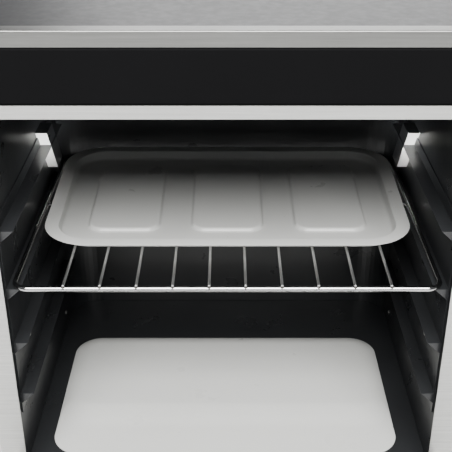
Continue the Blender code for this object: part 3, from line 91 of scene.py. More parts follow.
def noise(material, scale, stretch=(1, 1, 1), detail=2.0, roughness=0.5):
    """Noise on Object coordinates, stretched by a Mapping node; gives its value from 0 to 1."""
    tree = material.node_tree
    place = tree.nodes.new("ShaderNodeTexCoord")
    mapping = tree.nodes.new("ShaderNodeMapping")
    mapping.inputs["Scale"].default_value = stretch
    texture = tree.nodes.new("ShaderNodeTexNoise")
    texture.inputs["Scale"].default_value = scale
    texture.inputs["Detail"].default_value = detail
    texture.inputs["Roughness"].default_value = roughness
    tree.links.new(place.outputs["Object"], mapping.inputs["Vector"])
    tree.links.new(mapping.outputs["Vector"], texture.inputs["Vector"])
    return texture.outputs["Fac"]


def cells(material, scale):
    """Small cells on Object coordinates; a number's socket reads each cell's colour as a grey."""
    tree = material.node_tree
    place = tree.nodes.new("ShaderNodeTexCoord")
    texture = tree.nodes.new("ShaderNodeTexVoronoi")
    texture.inputs["Scale"].default_value = scale
    tree.links.new(place.outputs["Object"], texture.inputs["Vector"])
    return texture.outputs["Color"]

# %% [markdown]
# A texture is only a number at each point. These helpers turn it into something else: another
# range of numbers, a blend of two colours, or a sum or product with a second number.

# %% Helpers between a texture and the shader
def spread(material, value, low, high, start=0.0, end=1.0):
    """Map a value from one range to another."""
    tree = material.node_tree
    node = tree.nodes.new("ShaderNodeMapRange")
    node.inputs["From Min"].default_value = low
    node.inputs["From Max"].default_value = high
    node.inputs["To Min"].default_value = start
    node.inputs["To Max"].default_value = end
    tree.links.new(value, node.inputs["Value"])
    return node.outputs["Result"]


def mix_colours(material, factor, first, second):
    """Blend two colours, or a linked colour and a fixed one, by a factor."""
    tree = material.node_tree
    node = tree.nodes.new("ShaderNodeMix")
    node.data_type = "RGBA"
    tree.links.new(factor, node.inputs["Factor"])
    for socket, colour in ((node.inputs["A"], first), (node.inputs["B"], second)):
        if isinstance(colour, tuple):
            socket.default_value = (*colour, 1)
        else:
            tree.links.new(colour, socket)
    return node.outputs["Result"]


def join(material, operation, first, second):
    """Math on two values; each is a socket or a number."""
    tree = material.node_tree
    node = tree.nodes.new("ShaderNodeMath")
    node.operation = operation
    for socket, value in zip(node.inputs, (first, second)):
        if isinstance(value, (int, float)):
            socket.default_value = value
        else:
            tree.links.new(value, socket)
    return node.outputs["Value"]

# %% [markdown]
# The last helpers reach the shader itself. Colour, roughness and relief may change from point to
# point, so they are linked. The clear coat is the same all over, so it is set on its own sockets.

# %% Helpers that reach the shader
def drive(material, socket, value):
    """Link a value into one of the shader's sockets."""
    shader = material.node_tree.nodes["Principled BSDF"]
    material.node_tree.links.new(value, shader.inputs[socket])


def tint(material, factor, first, second):
    """Colour a finish between two tones, by a factor."""
    drive(material, "Base Color", mix_colours(material, factor, first, second))


def vary_roughness(material, value, smooth, rough, low=0.3, high=0.7):
    """Let a value run the roughness; most of a noise lies between 0.3 and 0.7."""
    drive(material, "Roughness", spread(material, value, low, high, smooth, rough))


def relief(material, height, distance, strength):
    """Bump from a height."""
    tree = material.node_tree
    bump = tree.nodes.new("ShaderNodeBump")
    bump.inputs["Strength"].default_value = strength
    bump.inputs["Distance"].default_value = distance
    tree.links.new(height, bump.inputs["Height"])
    drive(material, "Normal", bump.outputs["Normal"])


def coat(material, weight, roughness):
    """A clear layer over the finish."""
    shader = material.node_tree.nodes["Principled BSDF"]
    shader.inputs["Coat Weight"].default_value = weight
    shader.inputs["Coat Roughness"].default_value = roughness


def worn_edges(material, start, end):
    """A mask that is 1 on convex edges and 0 on flats."""
    geometry = material.node_tree.nodes.new("ShaderNodeNewGeometry")
    return spread(material, geometry.outputs["Pointiness"], start, end)

# %% [markdown]
# ## Vitreous enamel
#
# The cavity is black enamel: glass fused on steel. It is dark and glossy, with a faint blue tone
# and the soft waviness that enamellers call orange peel. The trays have the same glass in a light
# warm grey, speckled very finely. A bump of large soft noise gives the waviness, and a second
# noise changes the roughness a little, as where a cloth has been.

# %% Enamels
black_enamel = new_finish("cavity_black_enamel", (0.017, 0.018, 0.019), 0.3)
clouds = noise(black_enamel, 14, detail=3.0)
tone = mix_colours(black_enamel, clouds, (0.0155, 0.0162, 0.0172), (0.0195, 0.0205, 0.0218))
speck = spread(black_enamel, noise(black_enamel, 2600, detail=1.0), 0.70, 0.78)
tint(black_enamel, speck, tone, (0.045, 0.047, 0.050))
vary_roughness(black_enamel, noise(black_enamel, 22, detail=5.0), 0.26, 0.36)
relief(black_enamel, noise(black_enamel, 170, detail=1.0), 0.20 * MM, 0.30)
coat(black_enamel, 0.10, 0.10)

grey_enamel = new_finish("tray_grey_enamel", (0.60, 0.60, 0.57), 0.32)
clouds = noise(grey_enamel, 9, detail=3.0)
tone = mix_colours(grey_enamel, clouds, (0.565, 0.568, 0.545), (0.625, 0.625, 0.600))
speck = spread(grey_enamel, noise(grey_enamel, 1900, detail=2.0), 0.64, 0.74)
tint(grey_enamel, speck, tone, (0.54, 0.54, 0.52))
vary_roughness(grey_enamel, noise(grey_enamel, 30, detail=4.0), 0.27, 0.38)
relief(grey_enamel, noise(grey_enamel, 210, detail=1.0), 0.15 * MM, 0.20)
coat(grey_enamel, 0.30, 0.12)
print("enamels:", black_enamel.name, grey_enamel.name)

# %% [markdown]
# ## Brushed steel
#
# The strips across the front are steel, brushed from left to right. Brushing leaves long fine
# scratches of many widths. Two noises, squeezed along x, give coarse and fine lines; both change
# the roughness and the relief, so highlights smear across the scratches and stay short along them.

# %% Brushed steel
COARSE_SHARE, FINE_SHARE, CLOUD_SHARE = 0.6, 0.4, 0.25
DARK_LINE, LIGHT_LINE = 0.86, 1.08  # tones of the scratches, as shares of the colour
ROUGHNESS_SWING = 0.07


def brushed(name, colour, roughness, stretch):
    """Steel with scratches along the axis whose stretch is small."""
    material = new_finish(name, colour, roughness, 1.0)
    coarse = noise(material, 420, stretch, detail=3.0, roughness=0.6)
    fine = noise(material, 2100, stretch, detail=2.0, roughness=0.7)
    cloudy = noise(material, 12, detail=2.0)
    coarse_part = join(material, "MULTIPLY", coarse, COARSE_SHARE)
    lines = join(material, "ADD", coarse_part, join(material, "MULTIPLY", fine, FINE_SHARE))
    dark = tuple(c * DARK_LINE for c in colour)
    light = tuple(min(1.0, c * LIGHT_LINE) for c in colour)
    tint(material, spread(material, lines, 0.35, 0.65), dark, light)
    uneven = join(material, "ADD", lines, join(material, "MULTIPLY", cloudy, CLOUD_SHARE))
    swing = (roughness - ROUGHNESS_SWING, roughness + ROUGHNESS_SWING)
    vary_roughness(material, uneven, *swing, 0.4, 0.9)
    relief(material, lines, 0.05 * MM, 0.35)
    return material


ALONG_X = (0.02, 1, 1)
strip_steel = brushed("front_brushed_steel", (0.61, 0.61, 0.59), 0.40, ALONG_X)
trim_steel = brushed("top_strip_brushed_steel", (0.26, 0.26, 0.25), 0.42, ALONG_X)
handle_steel = brushed("handle_brushed_steel", (0.66, 0.66, 0.64), 0.28, (0.05, 1, 1))
print("brushed steels:", strip_steel.name, trim_steel.name, handle_steel.name)

# %% [markdown]
# ## Chrome and welds
#
# The rack's frame wire is bright chrome, and its thin wires are duller. Chrome shows what is round
# it, so it needs little colour of its own. A weld burns the plate away and leaves a dark stain.

# %% Chrome and welds
TONE_SWING, SHINE_SWING = 0.04, 0.04


def plated(name, tone, roughness):
    """Chrome plate; its shine and its tone change a little along the wire."""
    material = new_finish(name, (tone, tone, tone), roughness, 1.0)
    patches = spread(material, noise(material, 60, detail=2.0), 0.35, 0.65)
    dark, light = tone - TONE_SWING, tone + TONE_SWING
    tint(material, patches, (dark, dark * 0.99, dark * 0.98), (light, light, light))
    swing = (roughness - SHINE_SWING, roughness + SHINE_SWING)
    vary_roughness(material, noise(material, 160, detail=3.0), *swing)
    relief(material, noise(material, 500, (1, 0.15, 1), detail=1.0), 0.02 * MM, 0.2)
    return material


chrome = plated("rack_chrome", 0.52, 0.12)
dull_chrome = plated("thin_wire_chrome", 0.80, 0.36)

weld = new_finish("weld_heat_stain", (0.07, 0.065, 0.06), 0.5, 1.0)
tint(weld, noise(weld, 900, detail=2.0), (0.04, 0.038, 0.036), (0.12, 0.11, 0.10))
relief(weld, noise(weld, 1400), 0.05 * MM, 0.4)
print("plated:", chrome.name, dull_chrome.name, "weld:", weld.name)

# %% [markdown]
# ## Galvanised sheet, zinc plate and heater sheath
#
# Hot galvanised sheet is covered with flat crystals, each with its own tone and shine; a texture of
# small cells gives those. Zinc-plated screws and pins are smoother, with a faint yellow cast. The
# sheath of a heating element has turned brown in bands along its length.

# %% Galvanised sheet, zinc plate and heater sheath
galvanised = new_finish("galvanised_sheet_spangle", (0.50, 0.52, 0.53), 0.4, 0.95)
grains = cells(galvanised, 95)
grain_tone = spread(galvanised, grains, 0.2, 0.8)
tint(galvanised, grain_tone, (0.40, 0.42, 0.43), (0.58, 0.60, 0.61))
vary_roughness(galvanised, grains, 0.34, 0.54, 0.0, 1.0)
relief(galvanised, noise(galvanised, 500, detail=2.0), 0.05 * MM, 0.3)

zinc = new_finish("zinc_plated_steel", (0.58, 0.58, 0.55), 0.32, 1.0)
tint(zinc, noise(zinc, 130, detail=3.0), (0.48, 0.49, 0.49), (0.66, 0.64, 0.58))
vary_roughness(zinc, noise(zinc, 260, detail=2.0), 0.25, 0.42)
relief(zinc, noise(zinc, 1500), 0.03 * MM, 0.3)

sheath = new_finish("heat_darkened_sheath", (0.13, 0.12, 0.11), 0.48, 0.85)
bands = spread(sheath, noise(sheath, 26, (1, 0.2, 0.2), detail=2.0), 0.35, 0.65)
tint(sheath, bands, (0.085, 0.080, 0.078), (0.21, 0.17, 0.13))
vary_roughness(sheath, noise(sheath, 700), 0.40, 0.60)
relief(sheath, noise(sheath, 1200, detail=3.0), 0.05 * MM, 0.4)
print("metals:", galvanised.name, zinc.name, sheath.name)

# %% [markdown]
# ## Stove paint
#
# The band across the front and the casing have black stove paint with a very fine texture. The
# casing is satin. The band is matt and hardly mirrors anything, so its specular level is low.

# %% Stove paint
def stove_paint(name, colour, roughness, shine):
    """Black paint with a fine texture; shine is the strength of its mirror reflection."""
    material = new_finish(name, colour, roughness)
    light = tuple(c * 1.2 for c in colour)
    tint(material, noise(material, 11, detail=3.0), colour, light)
    fine = noise(material, 160, detail=2.0)
    vary_roughness(material, fine, roughness - 0.03, roughness + 0.03)
    relief(material, noise(material, 1500, detail=2.0), 0.03 * MM, 0.35)
    material.node_tree.nodes["Principled BSDF"].inputs["Specular IOR Level"].default_value = shine
    return material


black_paint = stove_paint("satin_black_paint", (0.0115, 0.0115, 0.0120), 0.44, 0.45)
band_paint = stove_paint("front_matt_black_paint", (0.0042, 0.0042, 0.0045), 0.60, 0.03)
print("paints:", black_paint.name, band_paint.name)

# %% [markdown]
# ## Plastics and rubber
#
# The knobs are phenolic plastic with a fine matt grain, paler on edges that fingers have rubbed.
# The switch is nylon. The feet are rubber, which scatters light almost evenly and gathers dust.

# %% Plastics and rubber
black_plastic = new_finish("knob_black_phenolic", (0.016, 0.016, 0.017), 0.38)
rubbed = worn_edges(black_plastic, 0.53, 0.62)
tint(black_plastic, rubbed, (0.016, 0.016, 0.017), (0.045, 0.045, 0.046))
vary_roughness(black_plastic, noise(black_plastic, 1300, detail=2.0), 0.33, 0.48)
relief(black_plastic, noise(black_plastic, 2300, detail=1.0), 0.03 * MM, 0.4)

nylon = new_finish("grey_nylon", (0.42, 0.42, 0.40), 0.5)
tint(nylon, noise(nylon, 45, detail=2.0), (0.38, 0.38, 0.36), (0.46, 0.46, 0.44))
relief(nylon, noise(nylon, 1400), 0.03 * MM, 0.3)

rubber = new_finish("foot_black_rubber", (0.020, 0.020, 0.020), 0.8)
dusty = spread(rubber, noise(rubber, 180, detail=4.0), 0.45, 0.75)
tint(rubber, dusty, (0.017, 0.017, 0.017), (0.040, 0.039, 0.037))
vary_roughness(rubber, noise(rubber, 800), 0.72, 0.92)
relief(rubber, noise(rubber, 1700, detail=2.0), 0.05 * MM, 0.5)
print("plastics and rubber:", black_plastic.name, nylon.name, rubber.name)

# %% [markdown]
# ## Porcelain, lens, glass and ink
#
# The bushes of the elements are rough porcelain with a few darker grains. The lens of the pilot
# light passes about half of the light. The door's glass is smoked a little, and nearly clear when
# seen straight on. A pale ink marks the dials.

# %% Porcelain, lens, glass and ink
porcelain = new_finish("bush_porcelain", (0.80, 0.78, 0.72), 0.36)
dark_grains = spread(porcelain, noise(porcelain, 700, detail=2.0), 0.62, 0.72)
tint(porcelain, dark_grains, (0.80, 0.78, 0.72), (0.55, 0.52, 0.46))
relief(porcelain, noise(porcelain, 900), 0.04 * MM, 0.4)

amber = new_finish("lens_amber", (0.75, 0.20, 0.03), 0.12)
amber.node_tree.nodes["Principled BSDF"].inputs["Transmission Weight"].default_value = 0.6
tint(amber, noise(amber, 300), (0.68, 0.17, 0.02), (0.82, 0.26, 0.05))
relief(amber, noise(amber, 600), 0.03 * MM, 0.3)

glass = new_finish("door_smoked_glass", (0.34, 0.34, 0.34), 0.03)
glass_shader = glass.node_tree.nodes["Principled BSDF"]
glass_shader.inputs["Transmission Weight"].default_value = 1.0
glass_shader.inputs["IOR"].default_value = 1.46
tint(glass, noise(glass, 8, detail=2.0), (0.33, 0.33, 0.33), (0.37, 0.37, 0.37))
vary_roughness(glass, noise(glass, 24, detail=5.0), 0.02, 0.07, 0.45, 0.75)

marks_ink = new_finish("dial_white_ink", (0.66, 0.66, 0.64), 0.5)
tint(marks_ink, noise(marks_ink, 900, detail=2.0), (0.60, 0.60, 0.58), (0.70, 0.70, 0.68))
relief(marks_ink, noise(marks_ink, 2200), 0.01 * MM, 0.3)
print("finishes:", len(bpy.data.materials))

# %% [markdown]
# ## Give the solids their finishes
#
# Each solid keeps its mesh and only gets a new material. A table by finish is easier to check than
# fifty separate lines.

# %% Dress the solids
FINISHES = {
    black_enamel: [
        "cavity_walls", "cavity_floor", "cavity_roof", "left_rail_plate", "right_rail_plate",
        "door_inner_frame",
    ],
    grey_enamel: ["baking_tray", "crumb_tray"],
    strip_steel: ["front_frame"],
    trim_steel: ["top_trim"],
    handle_steel: ["door_handle", "left_handle_post", "right_handle_post"],
    chrome: ["wire_rack"],
    galvanised: [
        "base_pan", "rear_panel", "left_element_holder", "right_element_holder",
        "heat_reflector", "heat_shield", "control_bracket",
    ],
    zinc: [
        "thermostat", "bell_timer", "temperature_shaft", "function_shaft", "timer_shaft",
        "thermal_cutout", "left_handle_screw", "right_handle_screw", "left_hinge_pin",
        "right_hinge_pin", "left_hinge_bracket", "right_hinge_bracket",
    ],
    sheath: [
        "upper_front_element", "upper_rear_element", "lower_front_element", "lower_rear_element",
    ],
    black_paint: ["outer_casing", "door_outer_frame"],
    band_paint: ["fascia_band", "control_panel"],
    black_plastic: ["temperature_knob", "function_knob", "timer_knob", "cord_gland"],
    nylon: ["function_switch", "terminal_block"],
    rubber: ["front_left_foot", "front_right_foot", "rear_left_foot", "rear_right_foot"],
    porcelain: ["front_left_bush", "front_right_bush", "rear_left_bush", "rear_right_bush"],
    amber: ["indicator_lens"],
    glass: ["door_glass"],
}
dressed = set()
for material, names in FINISHES.items():
    for name in names:
        nodes[name].data.materials.clear()
        nodes[name].data.materials.append(material)
        dressed.add(name)
print("solids without a finish:", sorted(set(nodes) - dressed))

# %% [markdown]
# ## Pressed sheet, drawn as loops
#
# A pressed tray is a stack of outlines: each one lies a little further in and a little higher or
# lower than the last. `rounded_loop` makes the first one from a one-cell grid whose corners are
# bevelled. There are two ways on from there. `press` extrudes the loop step by step along a
# profile, which keeps every corner true also where the sheet is nearly level. `loft` bridges loops
# that were made one by one, which lets the front step in by another amount than the sides.

# %% Helpers for pressed sheet
def rounded_loop(shape, low, high, radius, height, segments):
    """The edges of a rectangle with rounded corners, level at a height."""
    grid = bmesh.ops.create_grid(shape, x_segments=1, y_segments=1, size=0.5)
    middle = ((low[0] + high[0]) / 2, (low[1] + high[1]) / 2, height)
    bmesh.ops.scale(shape, vec=(high[0] - low[0], high[1] - low[1], 1), verts=grid["verts"])
    bmesh.ops.translate(shape, vec=middle, verts=grid["verts"])
    loop_faces = {face for vert in grid["verts"] for face in vert.link_faces}
    others = set(shape.faces) - loop_faces
    bmesh.ops.bevel(
        shape, geom=grid["verts"], offset=radius, segments=segments,
        profile=0.5, affect="VERTICES", material=-1,
    )
    face = (set(shape.faces) - others).pop()
    edges = list(face.edges)
    bmesh.ops.delete(shape, geom=[face], context="FACES_ONLY")
    return edges


def loft(shape, loops):
    """Faces between each loop and the next."""
    for first, second in zip(loops, loops[1:]):
        bmesh.ops.bridge_loops(shape, edges=first + second)


def press(shape, low, high, radius, base, profile, segments):
    """Draw a rounded outline inwards through a profile of (inset, height) in mm.

    Gives the first and the last loop.
    """
    inset, height = profile[0]
    draw = inset * MM
    first = rounded_loop(
        shape, (low[0] + draw, low[1] + draw), (high[0] - draw, high[1] - draw),
        radius - draw, base + height * MM, segments,
    )
    ring = first
    for inset, height in profile[1:]:
        made = bmesh.ops.extrude_edge_only(shape, edges=ring)["geom"]
        verts = {g for g in made if isinstance(g, bmesh.types.BMVert)}
        for vert in verts:
            corner_x = min(max(vert.co.x, low[0] + radius), high[0] - radius)
            corner_y = min(max(vert.co.y, low[1] + radius), high[1] - radius)
            away = Vector((vert.co.x - corner_x, vert.co.y - corner_y, 0)).normalized()
            corner = Vector((corner_x, corner_y, base + height * MM))
            vert.co = corner + away * (radius - inset * MM)
        ring = [g for g in made if isinstance(g, bmesh.types.BMEdge) and set(g.verts) <= verts]
    return first, ring

# %% [markdown]
# Every new piece is finished in the same way. Its faces are turned the right way out, its mesh
# becomes an object that rides on a body of the frame, and modifiers do the rest: Solidify gives a
# sheet its thickness, Bevel breaks the raw edges, and Weighted Normal keeps the flats flat.

# %% Helpers that finish a piece
EDGE_STEPS = 2
FLATS_WEIGHT = 50
SHEET_EDGE_ANGLE = 50  # degrees; sharper edges of a sheet are rounded


def face_up(shape):
    """Turn a sheet's faces so that they look up."""
    bmesh.ops.recalc_face_normals(shape, faces=shape.faces)
    if sum(face.normal.z * face.calc_area() for face in shape.faces) < 0:
        bmesh.ops.reverse_faces(shape, faces=shape.faces)


def add_piece(name, shape, materials, body, replaced=()):
    """A finished piece with smooth faces, which rides on a body of the frame."""
    for face in shape.faces:
        face.smooth = True
    mesh = bpy.data.meshes.new(name)
    shape.to_mesh(mesh)
    shape.free()
    for material in materials:
        mesh.materials.append(material)
    piece = bpy.data.objects.new(name, mesh)
    bpy.context.scene.collection.objects.link(piece)
    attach(piece, body)
    if replaced:
        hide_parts(*replaced)
    return piece


def soften(piece, edge, angle):
    """Round the edges that are sharper than an angle, and weight the normals by area."""
    bevel = piece.modifiers.new("edges", "BEVEL")
    bevel.width = edge
    bevel.segments = EDGE_STEPS
    bevel.limit_method = "ANGLE"
    bevel.angle_limit = math.radians(angle)
    bevel.material = -1
    normals = piece.modifiers.new("normals", "WEIGHTED_NORMAL")
    normals.weight = FLATS_WEIGHT


def thicken(piece, thickness, edge):
    """Give a sheet its thickness, downwards, and break its edges."""
    solid = piece.modifiers.new("thickness", "SOLIDIFY")
    solid.thickness = thickness
    solid.offset = -1
    solid.use_even_offset = True
    soften(piece, edge, SHEET_EDGE_ANGLE)

# %% [markdown]
# ## The baking tray
#
# From the outside in: a thin rolled edge, a flat flange, a steep wall with a soft fillet at its
# foot, and the floor. Three pads stand up from the floor, each with its own soft slope. The
# floor's face is filled between the outer loop and the three pads' loops. At the end the whole
# tray is drawn in a little towards the front, as trays are that nest in a stack.

# %% Sizes of the baking tray
tray_low, tray_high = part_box("baking_tray")
TRAY_PROFILE = (
    (0, 9.2), (0.1, 9.42), (0.4, 9.5), (10.9, 9.5), (11.4, 9.4), (11.8, 9.1), (12.0, 8.6),
    (12.5, 3.0), (12.9, 1.9), (13.7, 1.2), (15.0, 0.8), (16.5, 0.7),
)
PAD_PROFILE = (
    (0, 0.7), (0.8, 0.8), (1.6, 1.15), (2.15, 1.7), (2.6, 2.5), (3.0, 3.1), (3.6, 3.55),
    (4.6, 3.8), (5.8, 3.85),
)
TRAY_FLANGE_REACH = 6.7 * MM  # the thin flange reaches this far in front of the solid's rim
TRAY_TAPER = 0.16  # the share by which a metre of depth widens it
TAPER_Y = tray_low.y + 76 * MM  # where the taper leaves the width as it is
TRAY_RADIUS, TRAY_CORNER_STEPS = 40 * MM, 12
PAD_SIZE, PAD_PITCH = 67 * MM, 90.5 * MM
PAD_RADIUS, PAD_CORNER_STEPS = 15 * MM, 9
PAD_FRONT, PAD_REAR = 30.5 * MM, 30 * MM  # from the solid's rim to the pads
TRAY_SHEET, TRAY_EDGE = 0.6 * MM, 0.12 * MM
print("tray's solid:", round(tray_high.x - tray_low.x, 4), "by", round(tray_high.y - tray_low.y, 4))

# %% Baking tray
tray_shape = bmesh.new()
tray_front = tray_low.y - TRAY_FLANGE_REACH
_, floor_loop = press(
    tray_shape, (tray_low.x, tray_front), (tray_high.x, tray_high.y),
    TRAY_RADIUS, tray_low.z, TRAY_PROFILE, TRAY_CORNER_STEPS,
)
floor_edges = list(floor_loop)
tray_middle = (tray_low.x + tray_high.x) / 2
for k in (-1, 0, 1):
    pad_x = tray_middle + k * PAD_PITCH
    pad_foot, pad_top = press(
        tray_shape,
        (pad_x - PAD_SIZE / 2, tray_low.y + PAD_FRONT),
        (pad_x + PAD_SIZE / 2, tray_high.y - PAD_REAR),
        PAD_RADIUS, tray_low.z, PAD_PROFILE, PAD_CORNER_STEPS,
    )
    floor_edges += pad_foot
    bmesh.ops.edgeloop_fill(tray_shape, edges=pad_top)
bmesh.ops.triangle_fill(tray_shape, use_beauty=True, edges=floor_edges)
for vert in tray_shape.verts:
    widening = 1 + TRAY_TAPER * (vert.co.y - TAPER_Y)
    vert.co.x = tray_middle + (vert.co.x - tray_middle) * widening
face_up(tray_shape)
print("tray faces:", len(tray_shape.faces))
fine_tray = add_piece(
    "fine_baking_tray", tray_shape, [grey_enamel], "tray", ["baking_tray"]
)
thicken(fine_tray, TRAY_SHEET, TRAY_EDGE)

# %% [markdown]
# ## The crumb tray
#
# Its middle is raised and its margins fall away, narrow at the sides and the rear and wide at the
# front, so the loops step in by different amounts at the front. An arc gives the fall.

# %% Crumb tray
crumb_low, crumb_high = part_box("crumb_tray")
CRUMB_FALL, CRUMB_MARGIN, CRUMB_RAMP = 4.8 * MM, 18 * MM, 65 * MM
RAMP_CURVE = 0.25  # a power below 1 keeps most of the front ramp near the outer edge
CRUMB_RADIUS, CRUMB_CORNER_STEPS, CRUMB_STEPS = 26 * MM, 12, 14
CRUMB_SHEET, CRUMB_EDGE = 1.0 * MM, 0.25 * MM
LIP_REACH = 10 * MM
crumb_front = crumb_low.y + LIP_REACH
arc_radius = (CRUMB_MARGIN ** 2 + CRUMB_FALL ** 2) / (2 * CRUMB_FALL)
steep = math.asin(CRUMB_MARGIN / arc_radius)

crumb_shape = bmesh.new()
crumb_loops = []
for k in range(CRUMB_STEPS + 1):
    angle = steep * (1 - k / CRUMB_STEPS)
    draw = max(CRUMB_MARGIN - arc_radius * math.sin(angle), 0)
    fall = arc_radius * (1 - math.cos(angle))
    ramp = CRUMB_RAMP * (draw / CRUMB_MARGIN) ** RAMP_CURVE
    crumb_loops.append(rounded_loop(
        crumb_shape,
        (crumb_low.x + draw, crumb_front + ramp),
        (crumb_high.x - draw, crumb_high.y - draw),
        CRUMB_RADIUS - draw, crumb_high.z - fall, CRUMB_CORNER_STEPS,
    ))
loft(crumb_shape, crumb_loops)
bmesh.ops.edgeloop_fill(crumb_shape, edges=crumb_loops[-1])
face_up(crumb_shape)
print("crumb tray faces:", len(crumb_shape.faces))
fine_crumb_tray = add_piece(
    "fine_crumb_tray", crumb_shape, [grey_enamel], "crumb_drawer", ["crumb_tray"]
)
thicken(fine_crumb_tray, CRUMB_SHEET, CRUMB_EDGE)

# %% [markdown]
# ## The pull lip
#
# A finger pulls the crumb tray out by a lip at its front. It is a flat strip whose front edge is
# extruded upwards in four steps, so that it turns up in a small bend.

# %% Pull lip
LIP_WIDTH, LIP_DEPTH = 180 * MM, 9 * MM
LIP_OUT, LIP_RISE = 3.7 * MM, 1.25 * MM  # of the strip's middle, from the tray's front and foot
LIP_FRONT_LIMIT = 8 * MM  # only the strip's front edge lies further out than this
LIP_BEND = ((-0.6, 0.15), (-0.45, 0.5), (-0.1, 0.7), (0, 2.9))  # steps in y and z, in mm
LIP_SHEET, LIP_EDGE = 0.9 * MM, 0.2 * MM

lip_shape = bmesh.new()
lip_place = ((crumb_low.x + crumb_high.x) / 2, crumb_front - LIP_OUT, crumb_low.z + LIP_RISE)
lip_grid = bmesh.ops.create_grid(lip_shape, x_segments=1, y_segments=1, size=0.5)
bmesh.ops.scale(lip_shape, vec=(LIP_WIDTH, LIP_DEPTH, 1), verts=lip_grid["verts"])
bmesh.ops.translate(lip_shape, vec=lip_place, verts=lip_grid["verts"])
front_limit = crumb_front - LIP_FRONT_LIMIT
front_edge = [e for e in lip_shape.edges if all(v.co.y < front_limit for v in e.verts)]
for step_y, step_z in LIP_BEND:
    rim = bmesh.ops.extrude_edge_only(lip_shape, edges=front_edge)["geom"]
    verts = [g for g in rim if isinstance(g, bmesh.types.BMVert)]
    bmesh.ops.translate(lip_shape, vec=(0, step_y * MM, step_z * MM), verts=verts)
    edges = [g for g in rim if isinstance(g, bmesh.types.BMEdge)]
    front_edge = [edge for edge in edges if all(v in verts for v in edge.verts)]
face_up(lip_shape)
print("lip faces:", len(lip_shape.faces))
crumb_lip = add_piece("crumb_tray_lip", lip_shape, [grey_enamel], "crumb_drawer")
thicken(crumb_lip, LIP_SHEET, LIP_EDGE)

# %% [markdown]
# ## Round wire
#
# A ring of short edges is the wire's section. Extruding it draws a straight run, and spinning it
# draws a bend. A straight wire on its own is closed at both ends.

# %% Helpers for wire
BEND_STEPS = 8


def wire_ring(shape, centre, along, radius, sides):
    """A circle of edges across a direction, in the same order in every run."""
    made = bmesh.ops.create_circle(shape, cap_ends=False, radius=radius, segments=sides)
    ring = made["verts"]
    turn = Vector((0, 0, 1)).rotation_difference(Vector(along)).to_matrix()
    bmesh.ops.rotate(shape, cent=(0, 0, 0), matrix=turn, verts=ring)
    bmesh.ops.translate(shape, vec=centre, verts=ring)
    return list(dict.fromkeys(edge for vert in ring for edge in vert.link_edges))


def push(shape, ring, step):
    """Extrude a ring of edges by a step."""
    made = bmesh.ops.extrude_edge_only(shape, edges=ring)["geom"]
    verts = {g for g in made if isinstance(g, bmesh.types.BMVert)}
    bmesh.ops.translate(shape, vec=step, verts=list(verts))
    return [g for g in made if isinstance(g, bmesh.types.BMEdge) and set(g.verts) <= verts]


def bend(shape, ring, centre, angle):
    """Spin a ring of edges round a vertical axis."""
    made = bmesh.ops.spin(
        shape, geom=ring, cent=centre, axis=(0, 0, 1), angle=angle,
        steps=BEND_STEPS, use_duplicate=False,
    )
    return [g for g in made["geom_last"] if isinstance(g, bmesh.types.BMEdge)]


def straight_wire(shape, start, end, radius, sides):
    """A closed round wire between two points."""
    start, end = Vector(start), Vector(end)
    ring = wire_ring(shape, start, end - start, radius, sides)
    last = push(shape, ring, end - start)
    bmesh.ops.edgeloop_fill(shape, edges=ring)
    bmesh.ops.edgeloop_fill(shape, edges=last)

# %% [markdown]
# ## The wire rack
#
# One ring, pushed and turned round the rack's outline, makes the frame wire. It starts in the
# middle of the front run and ends there, where the doubled ring is merged.

# %% Frame wire of the rack
rack_low, rack_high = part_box("wire_rack")
FRAME_WIRE, THIN_WIRE, BAR_WIRE = 2.3 * MM, 1.12 * MM, 1.85 * MM  # radii
FRAME_SIDES, THIN_SIDES, BAR_SIDES = 20, 14, 16
RACK_DEPTH = 255.2 * MM
BEND = 12 * MM
SAME_PLACE = 0.01 * MM
rack_z = rack_low.z + FRAME_WIRE
rack_middle = (rack_low.x + rack_high.x) / 2
side_x = (rack_high.x - rack_low.x) / 2 - FRAME_WIRE
front_axis = rack_high.y - RACK_DEPTH - FRAME_WIRE
rear_axis = rack_high.y - FRAME_WIRE

rack_shape = bmesh.new()
run_x, run_y = side_x - BEND, (rear_axis - front_axis) / 2 - BEND
mid_y = (front_axis + rear_axis) / 2
start = (rack_middle, front_axis, rack_z)
ring = wire_ring(rack_shape, start, (1, 0, 0), FRAME_WIRE, FRAME_SIDES)
for dx, dy, corner_x, corner_y in ((1, 0, 1, -1), (0, 1, 1, 1), (-1, 0, -1, 1), (0, -1, -1, -1)):
    length = run_x if (dx, dy) == (1, 0) else 2 * (run_x if dx else run_y)
    ring = push(rack_shape, ring, (dx * length, dy * length, 0))
    centre = (rack_middle + corner_x * run_x, mid_y + corner_y * run_y, rack_z)
    ring = bend(rack_shape, ring, centre, math.pi / 2)
push(rack_shape, ring, (run_x, 0, 0))
bmesh.ops.remove_doubles(rack_shape, verts=rack_shape.verts, dist=SAME_PLACE)
print("frame wire faces:", len(rack_shape.faces))

# %% [markdown]
# The thinner wires lie across the frame wire, and a bar under them stiffens the rack. Where a thin
# wire meets the frame, a flattened bead stands for the weld. Each kind has its own finish.

# %% Cross wires, bar and welds
WIRE_COUNT, WIRE_PITCH, WIRE_END = 10, 28.5 * MM, 0.5 * MM
BAR_PLACE = 147 * MM  # behind the front wire
BEAD_RADIUS, BEAD_FORM = 1.0 * MM, (1.6, 1.3, 0.9)
BEAD_FORWARD, BEAD_RISE = 0.8 * MM, 1.75 * MM
WELD_INDEX, THIN_INDEX = 1, 2

